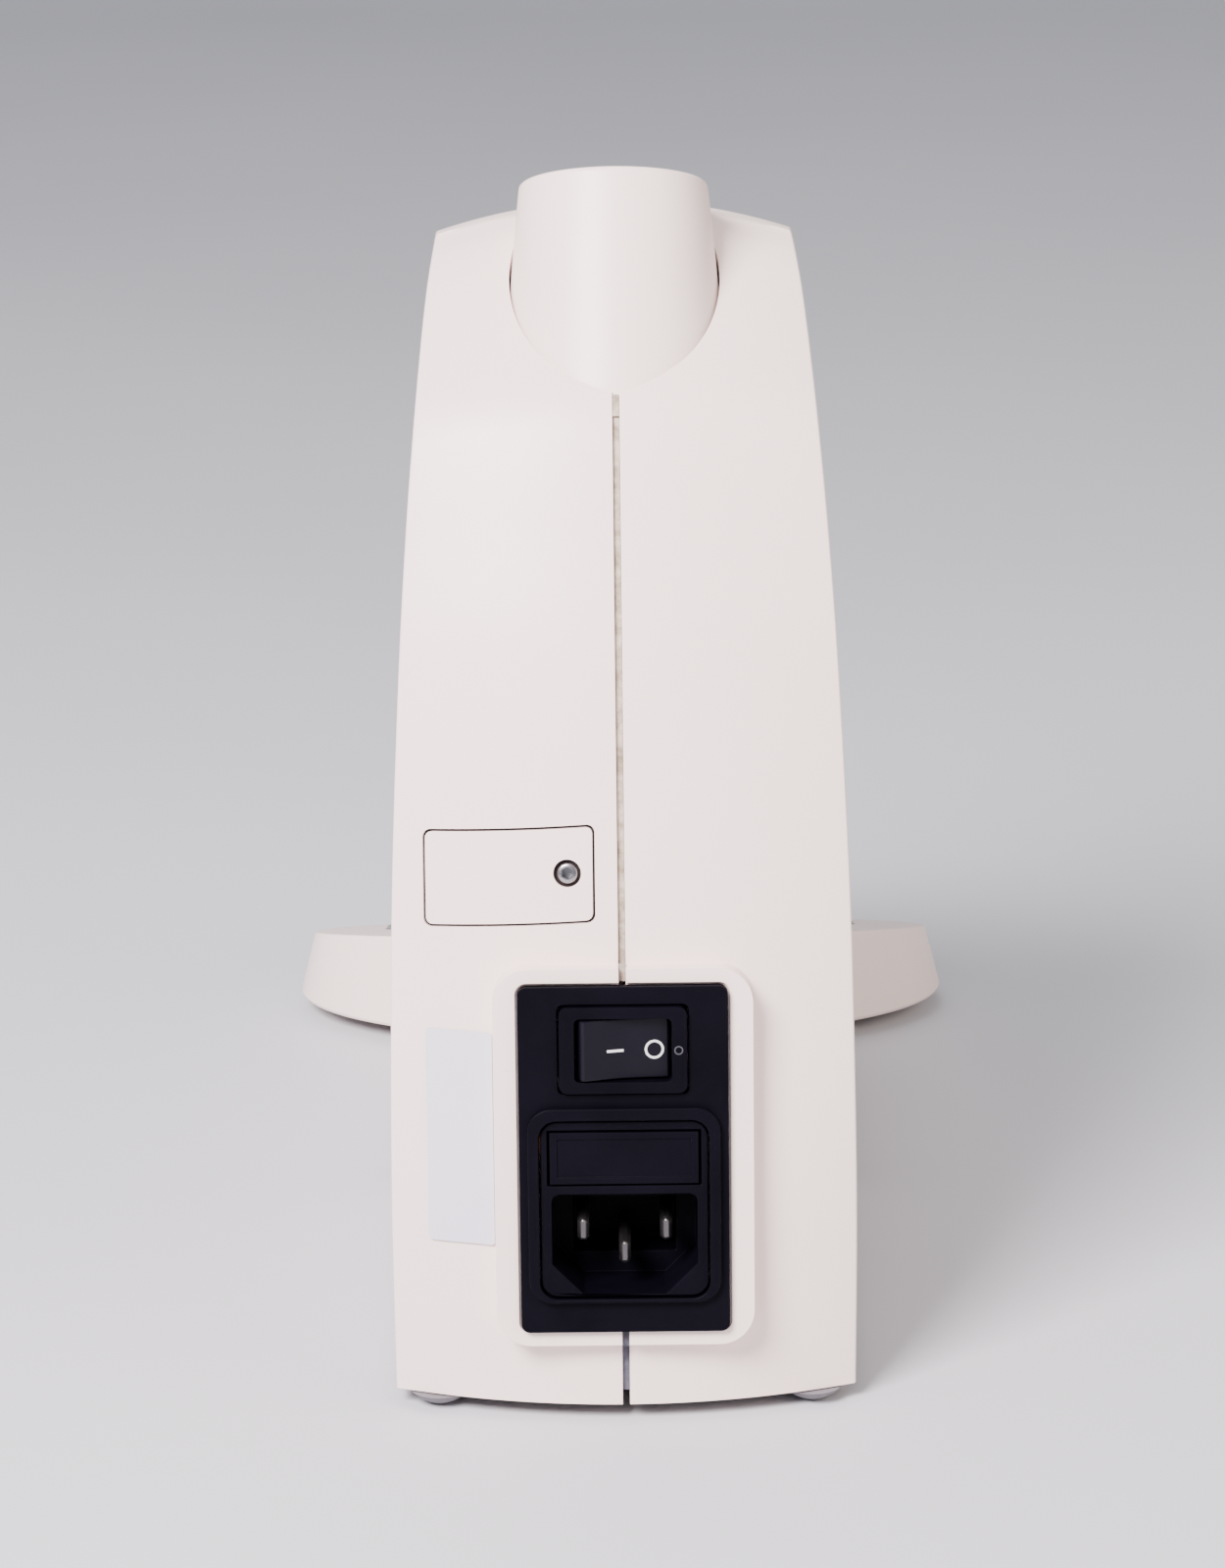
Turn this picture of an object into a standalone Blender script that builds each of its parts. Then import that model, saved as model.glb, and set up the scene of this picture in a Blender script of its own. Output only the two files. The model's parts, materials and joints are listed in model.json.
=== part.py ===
"""Bench microcentrifuge with a narrow clamshell rear column, a short leaning
control head on top, a small rotor chamber in the middle and a wide wedge foot.

All lengths below are in millimetres and are scaled to metres on creation.
Local layout axes: x to the side, s forwards from the rear face, z up.
The world frame has the rear facing +Y, so Y = Y_REAR - s.
"""
import math

import bmesh
import bpy
from mathutils import Matrix, Vector

# ------------------------------------------------------------------ dimensions
MM = 0.001
Y_REAR = 128.54          # world Y of the s = 0 plane, centres the whole in Y
GAP = 0.3                # play between touching pieces

COLUMN_CROWN_R = 95.0    # radius of the crowned rear, top and front band
SEAM = 1.2               # open seam between the two halves
WALL = 2.4
COLUMN_Z0 = 3.0
# rear profile of the column, (s, z), bottom to apex
REAR = [(0, 3), (0.2, 20), (1.7, 47), (4.6, 72), (8, 95), (16.4, 130), (24.4, 152),
        (28, 161), (31.2, 167.4), (35.6, 172.8), (42, 177.4), (50, 182.4), (60, 188.2),
        (69, 192.7), (78, 195.5)]
# front profile, apex to bottom
FRONT = [(78, 195.5), (88, 194.4), (98, 190), (106, 181), (111, 167), (115, 145),
         (117.4, 118), (118, 90), (118, 50), (118, 3)]
# half width of the column against height, (z, half width)
HALF_W = [(0, 39.42), (35, 39.6), (70, 39.1), (95, 38.42), (128, 36.85), (150, 35.4),
          (168, 33.85), (178, 32.95), (184, 32.25), (188, 31.55), (191, 30.9), (196, 30.4)]

HEAD_LEAN = math.radians(21.6)   # control head leans forwards
HEAD_BASE = (53.6, 165.4)        # centre of the head's lower circle, (s, z)
HEAD_R0, HEAD_R1, HEAD_LEN = 19.6, 16.3, 37.9

PLATE_LEAN = math.radians(5.0)   # power entry plate leans forwards
PLATE_C = (1.7, 47.5)            # plate centre on the body line, (s, z)
BOSS_OUT = 1.8                   # boss face above the plate centre
PLATE_W, PLATE_H, PLATE_T = 35.2, 59.9, 1.9

HATCH = (4.4, 33.2, 87.2, 103.3)  # x0, x1, z0, z1
HATCH_TILT = -0.073               # its long edges drop a little towards the side wall
HATCH_SCREW = (9.0, 95.2)

CH_S = 165.0                     # chamber centre
CH_W, CH_FRONT = 84.0, 207.0     # chamber housing width and front
CH_TOP = 62.0
ROTOR_R = 31.5

FOOT_S = 219.0                   # widest station of the foot
FOOT_A, FOOT_REAR, FOOT_FRONT = 67.4, 34.0, 43.0
FOOT_TOP_Z, FOOT_SLOPE = 16.6, math.radians(15.0)

# ------------------------------------------------------------------ scene setup
for ob in list(bpy.data.objects):
    bpy.data.objects.remove(ob, do_unlink=True)
PARTS = bpy.data.collections.new("microcentrifuge")
CUTS = bpy.data.collections.new("cutters")
bpy.context.scene.collection.children.link(PARTS)
bpy.context.scene.collection.children.link(CUTS)


def material(name, rgb, rough, metal=0.0, alpha=1.0):
    m = bpy.data.materials.new(name)
    m.use_nodes = True
    b = m.node_tree.nodes["Principled BSDF"]
    b.inputs["Base Color"].default_value = (*rgb, 1.0)
    b.inputs["Roughness"].default_value = rough
    b.inputs["Metallic"].default_value = metal
    b.inputs["Alpha"].default_value = alpha
    return m


M = {
    "shell": material("cream_shell", (0.80, 0.74, 0.68), 0.42),
    "black": material("black_plastic", (0.018, 0.018, 0.021), 0.35),
    "rubber": material("grey_rubber", (0.23, 0.23, 0.24), 0.75),
    "steel": material("zinc_steel", (0.55, 0.55, 0.57), 0.32, 1.0),
    "brass": material("nickel_contact", (0.70, 0.66, 0.55), 0.25, 1.0),
    "label": material("white_label", (0.85, 0.85, 0.84), 0.5),
    "smoke": material("smoke_lid", (0.20, 0.23, 0.26), 0.08, 0.0, 0.4),
    "rotor": material("rotor_grey", (0.10, 0.11, 0.13), 0.45),
    "pcb": material("green_board", (0.03, 0.16, 0.07), 0.5),
    "glass": material("display_glass", (0.02, 0.03, 0.035), 0.06),
    "green": material("green_button", (0.10, 0.42, 0.18), 0.4),
    "red": material("red_button", (0.55, 0.06, 0.05), 0.4),
    "liner": material("grey_liner", (0.50, 0.51, 0.53), 0.4),
    "copper": material("copper_winding", (0.60, 0.26, 0.12), 0.4, 1.0),
}


# ------------------------------------------------------------------ helpers
def W(x, s, z):
    """Layout position in millimetres to the world."""
    return Vector((x, Y_REAR - s, z)) * MM


def lean(angle):
    """Rotation that tips a +Z axis forwards (towards -Y) by angle."""
    return Matrix.Rotation(angle, 4, "X")


def face_out(bm):
    """Consistent outward normals on a closed body."""
    bmesh.ops.recalc_face_normals(bm, faces=bm.faces)
    if bm.calc_volume(signed=True) < 0:
        bmesh.ops.reverse_faces(bm, faces=bm.faces)


def obj_from_bm(name, bm, mat=None, coll=None, at=None, rot=None, smooth=None):
    face_out(bm)
    me = bpy.data.meshes.new(name)
    bm.to_mesh(me)
    bm.free()
    if mat:
        me.materials.append(M[mat])
    ob = bpy.data.objects.new(name, me)
    (coll or PARTS).objects.link(ob)
    m = Matrix.Translation(at if at is not None else Vector((0, 0, 0)))
    if rot is not None:
        m = m @ rot
    ob.matrix_world = m
    if smooth:
        me.shade_smooth()
        me.set_sharp_from_angle(angle=math.radians(smooth))
    return ob


def cutter_of(ob):
    for c in ob.users_collection:
        c.objects.unlink(ob)
    CUTS.objects.link(ob)
    ob.hide_render = True
    ob.display_type = "WIRE"
    return ob


def boolean(ob, other, op="DIFFERENCE"):
    cutter_of(other)
    b = ob.modifiers.new(op.lower(), "BOOLEAN")
    b.object = other
    b.operation = op
    b.solver = "EXACT"
    return ob


def box(name, size, mat=None, at=None, rot=None, bevel=0.0, seg=2, coll=None):
    """Box centred on its own origin."""
    bm = bmesh.new()
    bmesh.ops.create_cube(bm, size=1.0)
    bmesh.ops.scale(bm, vec=Vector(size) * MM, verts=bm.verts)
    ob = obj_from_bm(name, bm, mat, coll, at, rot)
    if bevel:
        b = ob.modifiers.new("edge", "BEVEL")
        b.width, b.segments, b.limit_method = bevel * MM, seg, "ANGLE"
        b.angle_limit = math.radians(40)
    return ob


def cyl(name, r, h, mat=None, at=None, rot=None, r2=None, n=32, coll=None):
    """Cylinder or cone along its own Z, centred."""
    bm = bmesh.new()
    bmesh.ops.create_cone(bm, cap_ends=True, segments=n, radius1=r * MM,
                          radius2=(r if r2 is None else r2) * MM, depth=h * MM)
    return obj_from_bm(name, bm, mat, coll, at, rot, smooth=35)


def turned(name, profile, mat=None, at=None, rot=None, steps=32, coll=None):
    """Solid of revolution about its own Z. profile is (r, z), top to bottom
    down the outer side; a hollow piece comes back up the inner side."""
    bm = bmesh.new()
    vs = [bm.verts.new((r * MM, 0, z * MM)) for r, z in profile]
    for a, b in zip(vs, vs[1:]):
        bm.edges.new((a, b))
    if profile[0][0] > 0 and profile[-1][0] > 0:
        bm.edges.new((vs[-1], vs[0]))
    me = bpy.data.meshes.new(name)
    bm.to_mesh(me)
    bm.free()
    if mat:
        me.materials.append(M[mat])
    ob = bpy.data.objects.new(name, me)
    (coll or PARTS).objects.link(ob)
    m = Matrix.Translation(at if at is not None else Vector((0, 0, 0)))
    ob.matrix_world = m @ rot if rot is not None else m
    sc = ob.modifiers.new("turn", "SCREW")
    sc.axis, sc.angle, sc.steps, sc.render_steps = "Z", 2 * math.pi, steps, steps
    sc.use_merge_vertices, sc.merge_threshold = True, 0.00001
    sc.use_smooth_shade = True
    return ob


def outline(name, pts, depth, mat=None, at=None, rot=None, coll=None, holes=()):
    """Flat outline in its own XY plane, extruded to depth and centred on it."""
    cu = bpy.data.curves.new(name, "CURVE")
    cu.dimensions, cu.fill_mode, cu.extrude = "2D", "BOTH", depth * MM / 2
    for ring in (pts, *holes):
        sp = cu.splines.new("POLY")
        sp.points.add(len(ring) - 1)
        for p, (a, b) in zip(sp.points, ring):
            p.co = (a * MM, b * MM, 0, 1)
        sp.use_cyclic_u = True
    tmp = bpy.data.objects.new(name + "_curve", cu)
    bpy.context.scene.collection.objects.link(tmp)
    m = Matrix.Translation(at if at is not None else Vector((0, 0, 0)))
    tmp.matrix_world = m @ rot if rot is not None else m
    bpy.context.view_layer.update()
    ev = tmp.evaluated_get(bpy.context.evaluated_depsgraph_get())
    me = bpy.data.meshes.new_from_object(ev)
    mw = tmp.matrix_world.copy()
    bpy.data.objects.remove(tmp, do_unlink=True)
    bm = bmesh.new()
    bm.from_mesh(me)
    bmesh.ops.remove_doubles(bm, verts=bm.verts, dist=0.000005)
    face_out(bm)
    bm.to_mesh(me)
    bm.free()
    me.name = name
    me.materials.clear()
    if mat:
        me.materials.append(M[mat])
    ob = bpy.data.objects.new(name, me)
    (coll or PARTS).objects.link(ob)
    ob.matrix_world = mw
    return ob


def rrect(w, h, r, n=5, cx=0.0, cy=0.0):
    """Rounded rectangle, counter-clockwise."""
    pts = []
    for qx, qy, a0 in ((1, 1, 0), (-1, 1, 90), (-1, -1, 180), (1, -1, 270)):
        for k in range(n + 1):
            a = math.radians(a0 + 90 * k / n)
            pts.append((cx + qx * (w / 2 - r) + r * math.cos(a),
                        cy + qy * (h / 2 - r) + r * math.sin(a)))
    return pts


def circle(r, n=32, cx=0.0, cy=0.0):
    return [(cx + r * math.cos(2 * math.pi * k / n), cy + r * math.sin(2 * math.pi * k / n))
            for k in range(n)]


def smooth_path(ctrl, n):
    """Chord-weighted cubic through the control points, n steps per span."""
    C = [Vector(c) for c in ctrl]
    C = [2 * C[0] - C[1], *C, 2 * C[-1] - C[-2]]
    out = []
    for i in range(1, len(C) - 2):
        p0, p1, p2, p3 = C[i - 1:i + 3]
        d1, d2, d3 = (p1 - p0).length, (p2 - p1).length, (p3 - p2).length
        m1, m2 = (p2 - p0) / (d1 + d2) * d2, (p3 - p1) / (d2 + d3) * d2
        for k in range(n):
            t = k / n
            out.append((2 * t**3 - 3 * t**2 + 1) * p1 + (t**3 - 2 * t**2 + t) * m1
                       + (3 * t**2 - 2 * t**3) * p2 + (t**3 - t**2) * m2)
    out.append(C[-2])
    return out


def lookup(table, z):
    """Smooth interpolation in a table of (z, value)."""
    if z <= table[0][0]:
        return table[0][1]
    for (z0, a), (z1, b) in zip(table, table[1:]):
        if z <= z1:
            return a + (b - a) * (z - z0) / (z1 - z0)
    return table[-1][1]


def half_width(z):
    path = smooth_path(HALF_W, 6)
    return lookup([(p.x, p.y) for p in path], z)


# the column's two profile lines, matched height for height
REAR_LINE = smooth_path(REAR, 2)
FRONT_FINE = smooth_path(FRONT, 24)
K = len(REAR_LINE) - 1


def front_at(z):
    """Front profile point at a height."""
    best = FRONT_FINE[-1]
    for a, b in zip(FRONT_FINE, FRONT_FINE[1:]):
        if a.y >= z >= b.y and a.y > b.y:
            t = (a.y - z) / (a.y - b.y)
            return a.lerp(b, t)
    return best


def inward(line, i, flip):
    a, b = line[max(i - 1, 0)], line[min(i + 1, len(line) - 1)]
    t = (b - a).normalized()
    n = Vector((t.y, -t.x))
    return -n if flip else n


FRONT_LINE = [front_at(p.y) for p in REAR_LINE[:-1]] + [REAR_LINE[-1]]


def rib(line, i, flip, x, top):
    """Point of the crowned band at side distance x."""
    n = Vector((0, -1)) if top else inward(line, i, flip)
    if i == 0:
        n = Vector((-1.0 if flip else 1.0, 0))
    q = line[i] + n * (x * x / (2 * COLUMN_CROWN_R))
    return q


def edge_x(line, i, flip, top):
    """Side distance of the corner edge at a rib."""
    x = 36.0
    for _ in range(6):
        x = half_width(rib(line, i, flip, x, top).y)
    return x


def column_body(name, side, off=0.0, x0=SEAM / 2, drop=0.0, cols=4):
    """Solid half of the column, or with off the smaller body that hollows it."""
    bm = bmesh.new()
    weight = bm.edges.layers.float.new("bevel_weight_edge")

    def row(line, i, flip, top=False):
        xe = edge_x(line, i, flip, top) - off
        n = Vector((0, -1)) if top else inward(line, i, flip)
        if i == 0:
            n = Vector((-1.0 if flip else 1.0, 0))
        out = []
        for k in range(cols + 1):
            x = x0 + (xe - x0) * k / cols
            q = rib(line, i, flip, x, top) + n * off
            out.append(bm.verts.new(W(side * x, q.x, q.y - (drop if i == 0 else 0))))
        return out

    rear = [row(REAR_LINE, i, False) for i in range(K)]
    front = [row(FRONT_LINE, i, True) for i in range(K)]
    apex = row(REAR_LINE, K, False, True)
    rear.append(apex)
    front.append(apex)
    for rows in (rear, front):
        for a, b in zip(rows, rows[1:]):
            for k in range(cols):
                bm.faces.new((a[k], a[k + 1], b[k + 1], b[k]))
    for end in (0, -1):                       # seam plane and side wall
        for i in range(K):
            quad = [rear[i][end], rear[i + 1][end], front[i + 1][end], front[i][end]]
            bm.faces.new(list(dict.fromkeys(quad)))
    for k in range(cols):                     # underside
        bm.faces.new((rear[0][k], rear[0][k + 1], front[0][k + 1], front[0][k]))
    for rows in (rear, front):
        for end, w in ((0, 0.35), (-1, 1.0)):
            for a, b in zip(rows, rows[1:]):
                bm.edges.get((a[end], b[end]))[weight] = w
    return obj_from_bm(name, bm, "shell")


def column_half(name, side):
    """One half of the clamshell: open at the seam and underneath."""
    ob = column_body(name, side)
    bv = ob.modifiers.new("corner", "BEVEL")
    bv.width, bv.segments, bv.limit_method = 0.9 * MM, 2, "WEIGHT"
    boolean(ob, column_body("inside_" + name, side, WALL, -4.0, 8.0))
    return ob


def surface_point(x, z, depth=0.0):
    """Point on the rear band, found by height on its own surface."""
    pts = []
    for i in range(K):
        q = rib(REAR_LINE, i, False, abs(x), False)
        n = inward(REAR_LINE, i, False)
        pts.append((q, n))
    for (a, na), (b, nb) in zip(pts, pts[1:]):
        if a.y <= z <= b.y:
            t = (z - a.y) / (b.y - a.y)
            q, n = a.lerp(b, t), na.lerp(nb, t).normalized()
            break
    else:
        q, n = pts[0]
    yaw = -x / COLUMN_CROWN_R            # crown turns the normal sideways
    dx = math.sin(yaw)
    c = math.cos(yaw)
    return W(x + dx * depth, q.x + n.x * c * depth, q.y + n.y * c * depth)


def mapped_slab(name, x0, x1, z0, z1, r, d0, d1, mat=None, coll=None, nx=4, nz=3, tilt=0.0):
    """Rounded panel that follows the rear band between two depths."""
    bm = bmesh.new()
    bmesh.ops.create_grid(bm, x_segments=nx, y_segments=nz, size=0.5)
    for v in bm.verts:
        v.co.x = x0 + (v.co.x + 0.5) * (x1 - x0)
        v.co.y = z0 + (v.co.y + 0.5) * (z1 - z0)
    corner = [v for v in bm.verts if len(v.link_faces) == 1]
    bmesh.ops.bevel(bm, geom=corner, offset=r * 1.414 * 0.72, segments=4, profile=0.5,
                    affect="VERTICES")
    flat = [(v, v.co.copy()) for v in bm.verts]
    top = list(bm.faces)
    bnd = [e for e in bm.edges if len(e.link_faces) == 1]
    low = {}
    for v, c in flat:
        z = c.y + tilt * (c.x - HATCH[0])
        v.co = surface_point(c.x, z, d0)
        low[v] = bm.verts.new(surface_point(c.x, z, d1))
    for f in top:
        bm.faces.new([low[v] for v in reversed(f.verts)])
    for e in bnd:
        a, b = e.verts
        bm.faces.new((a, b, low[b], low[a]))
    return obj_from_bm(name, bm, mat, coll)


# plate frame: own X = world X, own Y = up along the plate, own Z = outwards (rear)
def plate_frame(a=0.0, b=0.0, c=0.0):
    t = Vector((math.sin(PLATE_LEAN), math.cos(PLATE_LEAN)))      # (s, z) up the plate
    n = Vector((-math.cos(PLATE_LEAN), math.sin(PLATE_LEAN)))     # (s, z) outwards
    s = PLATE_C[0] + t.x * b + n.x * (c + BOSS_OUT)
    z = PLATE_C[1] + t.y * b + n.y * (c + BOSS_OUT)
    return W(a, s, z)


# own X -> -X keeps the frame right-handed with Z outwards (+Y) and Y up
PLATE_ROT = Matrix.Rotation(PLATE_LEAN, 4, "X") @ Matrix(
    ((-1, 0, 0, 0), (0, 0, 1, 0), (0, 1, 0, 0), (0, 0, 0, 1)))

HEAD_D = Vector((math.sin(HEAD_LEAN), math.cos(HEAD_LEAN)))


def head_at(h, off=0.0):
    """Point on the head's axis, h above its lower circle."""
    return W(off, HEAD_BASE[0] + HEAD_D.x * h, HEAD_BASE[1] + HEAD_D.y * h)


HEAD_ROT = lean(HEAD_LEAN)


def head_r(h):
    return HEAD_R0 + (HEAD_R1 - HEAD_R0) * h / HEAD_LEN


# ------------------------------------------------------------------ column halves
halves = {+1: column_half("left_housing", +1), -1: column_half("right_housing", -1)}
for side, ob in halves.items():
    # raised boss round the power entry, cut at the seam
    w = 21.8 - SEAM / 2
    pts = rrect(43.6, 65.4, 6.0, 6, 0, 0)
    keep = [(x, y) for x, y in pts if x > 0]
    keep = [(max(x, SEAM / 2), y) for x, y in keep]
    top_y, bot_y = max(y for _, y in pts), min(y for _, y in pts)
    ring = ([(SEAM / 2, bot_y)] + [p for p in sorted(keep, key=lambda q: q[1])]
            + [(SEAM / 2, top_y)])
    ring = [(-x if side > 0 else x, y) for x, y in ring]
    boss = outline("boss_%s" % ("l" if side > 0 else "r"), ring, 6.4, None,
                   plate_frame(0, 0, -3.2), PLATE_ROT)
    bv = boss.modifiers.new("edge", "BEVEL")
    bv.width, bv.segments, bv.limit_method = 0.8 * MM, 2, "ANGLE"
    bv.angle_limit = math.radians(60)
    boolean(ob, boss, "UNION")

recess = outline("plate_recess", rrect(PLATE_W + 0.8, PLATE_H + 0.8, 1.9, 4), 4.0, None,
                 plate_frame(0, 0, -0.9 + 2.0), PLATE_ROT)
opening = box("entry_opening", (28.6, 53.2, 30.0), None, plate_frame(0, 0.9, -10.0), PLATE_ROT)
head_cut = cyl("head_cut", HEAD_R0 + 1.15, 64.0, None, head_at(32.0 - 4.6), HEAD_ROT,
               r2=HEAD_R0 + 0.75 - 60 * (HEAD_R0 - HEAD_R1) / HEAD_LEN, n=44)
neck_slot = box("base_slot", (38.0, 30.0, 8.0), None, W(0, 118, 3.0))
for side, ob in halves.items():
    for c in (recess, opening, head_cut, neck_slot):
        boolean(ob, c)

# access hatch in the left half
hx0, hx1, hz0, hz1 = HATCH
boolean(halves[1], mapped_slab("hatch_recess", hx0, hx1, hz0, hz1, 1.3, -2.0, 1.5,
                               tilt=HATCH_TILT))
boolean(halves[1], mapped_slab("hatch_hole", hx0 + 9.2, hx1 - 2.0, hz0 + 2.0, hz1 - 2.0, 1.0,
                               -3.0, 6.0, tilt=HATCH_TILT))


def surface_axis(x, z):
    """Position and rotation of a tool square to the rear band (own Z outwards)."""
    p0, p1 = surface_point(x, z, 0.0), surface_point(x, z, 1.0)
    out = (p0 - p1).normalized()
    return p0, out.to_track_quat("Z", "Y").to_matrix().to_4x4(), out


p, r, out = surface_axis(*HATCH_SCREW)
boolean(halves[1], cyl("hatch_screw_hole", 1.35, 12, None, p, r, n=20))
cover = mapped_slab("hatch_cover", hx0 + 0.35, hx1 - 0.35, hz0 + 0.35, hz1 - 0.35, 1.1, 0.0, 1.2,
                    "shell", tilt=HATCH_TILT)
boolean(cover, cyl("hatch_screw_seat", 2.35, 12, None, p, r, n=28))
turned("hatch_screw", [(0, -1.15), (0.9, -1.15), (0.9, -0.15), (1.45, -0.15), (1.75, -0.4),
                       (1.75, -1.2), (2.1, -1.2), (2.1, -1.25), (1.0, -1.25), (1.0, -7.0),
                       (0, -7.4)], "steel", p, r, 12)

# tie pillars between the side walls, with their screws from the right side
PILLARS = [("lower", 30, 12), ("upper", 100, 150)]
for word, s, z in PILLARS:
    xw = half_width(z) - WALL - 0.5
    rotx = Matrix.Rotation(math.pi / 2, 4, "Y")
    turned("tie_pillar_" + word, [(0, xw), (3.6, xw), (3.6, -xw), (1.6, -xw), (1.6, -xw + 9),
                                  (0, -xw + 10)], "steel", W(0, s, z), rotx, 16)
    boolean(halves[-1], cyl("pillar_seat_" + word, 3.1, 12, None, W(-half_width(z), s, z), rotx,
                            n=20))
    turned("housing_screw_" + word, [(0, 0.9), (1.3, 0.9), (1.3, 2.2), (2.7, 2.2), (2.7, 0.3),
                                     (1.25, 0.3), (1.25, -5.5), (0, -6)], "steel",
           W(-(half_width(z) - WALL - 0.2), s, z), Matrix.Rotation(-math.pi / 2, 4, "Y"), 16)


# seam strips: a T section that stands behind the open seam, tongue in the gap
def seam_strip(name, z0, z1):
    bm = bmesh.new()
    sec = [(-4, 4.2), (4, 4.2), (4, 2.75), (0.3, 2.75), (0.3, 1.1), (-0.3, 1.1), (-0.3, 2.75),
           (-4, 2.75)]
    rows = []
    line = [(i, p) for i, p in enumerate(REAR_LINE) if z0 < p.y < z1]

    def station(q, n):
        rows.append([bm.verts.new(W(x, q.x + n.x * d, q.y + n.y * d)) for x, d in sec])

    def at(z):
        for i, (a, b) in enumerate(zip(REAR_LINE, REAR_LINE[1:])):
            if a.y <= z <= b.y:
                return a.lerp(b, (z - a.y) / (b.y - a.y)), inward(REAR_LINE, i, False)

    station(*at(z0))
    for i, q in line:
        station(q, inward(REAR_LINE, i, False))
    station(*at(z1))
    m = len(sec)
    for a, b in zip(rows, rows[1:]):
        for k in range(m):
            bm.faces.new((a[k], a[(k + 1) % m], b[(k + 1) % m], b[k]))
    bm.faces.new(rows[0])
    bm.faces.new(rows[-1])
    return obj_from_bm(name, bm, "liner")


seam_strip("seam_strip_upper", 82.5, 168.0)
seam_strip("seam_strip_lower", 5.4, 11.2)

# ------------------------------------------------------------------ power entry
flange = outline("inlet_flange", rrect(PLATE_W, PLATE_H, 1.5, 4), PLATE_T, "black",
                 plate_frame(0, 0, -0.6 + PLATE_T / 2), PLATE_ROT,
                 holes=[rrect(22.0, 15.4, 1.0, 2, 0, 19.2), rrect(28.6, 31.5, 3.0, 3, 0, -8.2)])
C_FACE = -0.6 + PLATE_T      # plate's outer face, in the plate frame
# own X of the plate frame points to -X, so offsets a below are mirrored
surround = outline("inlet_surround", rrect(32.3, 33.8, 4.0, 5, 0, -7.6), 1.0, "black",
                   plate_frame(0, 0, C_FACE + GAP + 0.5), PLATE_ROT,
                   holes=[rrect(28.6, 31.0, 3.0, 4, 0, -8.3)])
socket_face = outline(
    "inlet_socket", rrect(28.0, 30.4, 2.8, 4, 0, -8.3), 22.0, "black",
    plate_frame(0, 0, C_FACE + 0.5 - 11.0), PLATE_ROT)
c14 = [(-12.2, -6.3), (-11.6, -5.7), (11.6, -5.7), (12.2, -6.3), (12.2, -17.8), (6.9, -23.1),
       (-6.9, -23.1), (-12.2, -17.8)]
boolean(socket_face, outline("socket_recess", c14, 16.0, None,
                             plate_frame(0, 0, C_FACE + 0.5 - 13.0 + 8.0), PLATE_ROT))
boolean(socket_face, box("drawer_bay", (25.8, 9.6, 40.0), None,
                         plate_frame(0, 0.6, C_FACE + 0.5 - 19.0 + 20.0), PLATE_ROT))
boolean(socket_face, box("blade_slots", (17.4, 9.6, 10.0), None,
                         plate_frame(0, -14.6, C_FACE - 16.0), PLATE_ROT))
for word, a, b in (("line", 7.0, -12.7), ("neutral", -7.0, -12.7), ("earth", 0.0, -16.7)):
    box("inlet_pin_" + word, (2.0, 4.0, 18.0), "brass", plate_frame(a, b, C_FACE - 2.6 - 9.0),
        PLATE_ROT, 0.4, 1)
drawer = box("fuse_drawer", (25.0, 8.9, 18.0), "black", plate_frame(0, 0.6, C_FACE + 0.7 - 9.0),
             PLATE_ROT, 0.5, 2)
boolean(drawer, box("fuse_bay", (20.8, 8.0, 12.0), None, plate_frame(0, 2.9, C_FACE - 9.3),
                    PLATE_ROT))
rot_fuse = PLATE_ROT @ Matrix.Rotation(math.pi / 2, 4, "Y")
for word, depth in (("front", 5.9), ("rear", 11.3)):
    cyl("fuse_" + word, 2.3, 19.8, "glass", plate_frame(0, 1.7, C_FACE - depth), rot_fuse, n=16)
frame = outline("switch_bezel", rrect(21.4, 14.8, 1.4, 3, 0, 19.2), 12.5, "black",
                plate_frame(0, 0, C_FACE + 0.9 - 6.25), PLATE_ROT,
                holes=[rrect(16.3, 10.9, 0.9, 2, 0, 19.2)])
# rocker: two faces that meet in a shallow valley, hinged on an upright axis
R_LEAN = math.radians(11.0)
R_PIVOT_C = C_FACE - 2.4
bm = bmesh.new()
prof = [(-7.7, -2.4), (-7.7, 1.9), (-7.2, 2.6), (0.0, 1.9), (7.2, 2.6), (7.7, 1.9), (7.7, -2.4),
        (2.6, -6.2), (-2.6, -6.2)]
lo = [bm.verts.new((a * MM, -5.15 * MM, c * MM)) for a, c in prof]
hi = [bm.verts.new((a * MM, 5.15 * MM, c * MM)) for a, c in prof]
n = len(prof)
for k in range(n):
    bm.faces.new((lo[k], lo[(k + 1) % n], hi[(k + 1) % n], hi[k]))
bm.faces.new(lo)
bm.faces.new(hi)
rocker = obj_from_bm("power_rocker", bm, "black", None, plate_frame(0, 19.2, R_PIVOT_C),
                     PLATE_ROT @ Matrix.Rotation(R_LEAN, 4, "Y"))
bv = rocker.modifiers.new("edge", "BEVEL")
bv.width, bv.segments, bv.limit_method, bv.angle_limit = 0.35 * MM, 2, "ANGLE", math.radians(12)

mapped_slab("rating_label", 21.9, 33.1, 31.2, 68.0, 0.6, -0.5, -0.3, "label", nx=4, nz=8)

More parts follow.
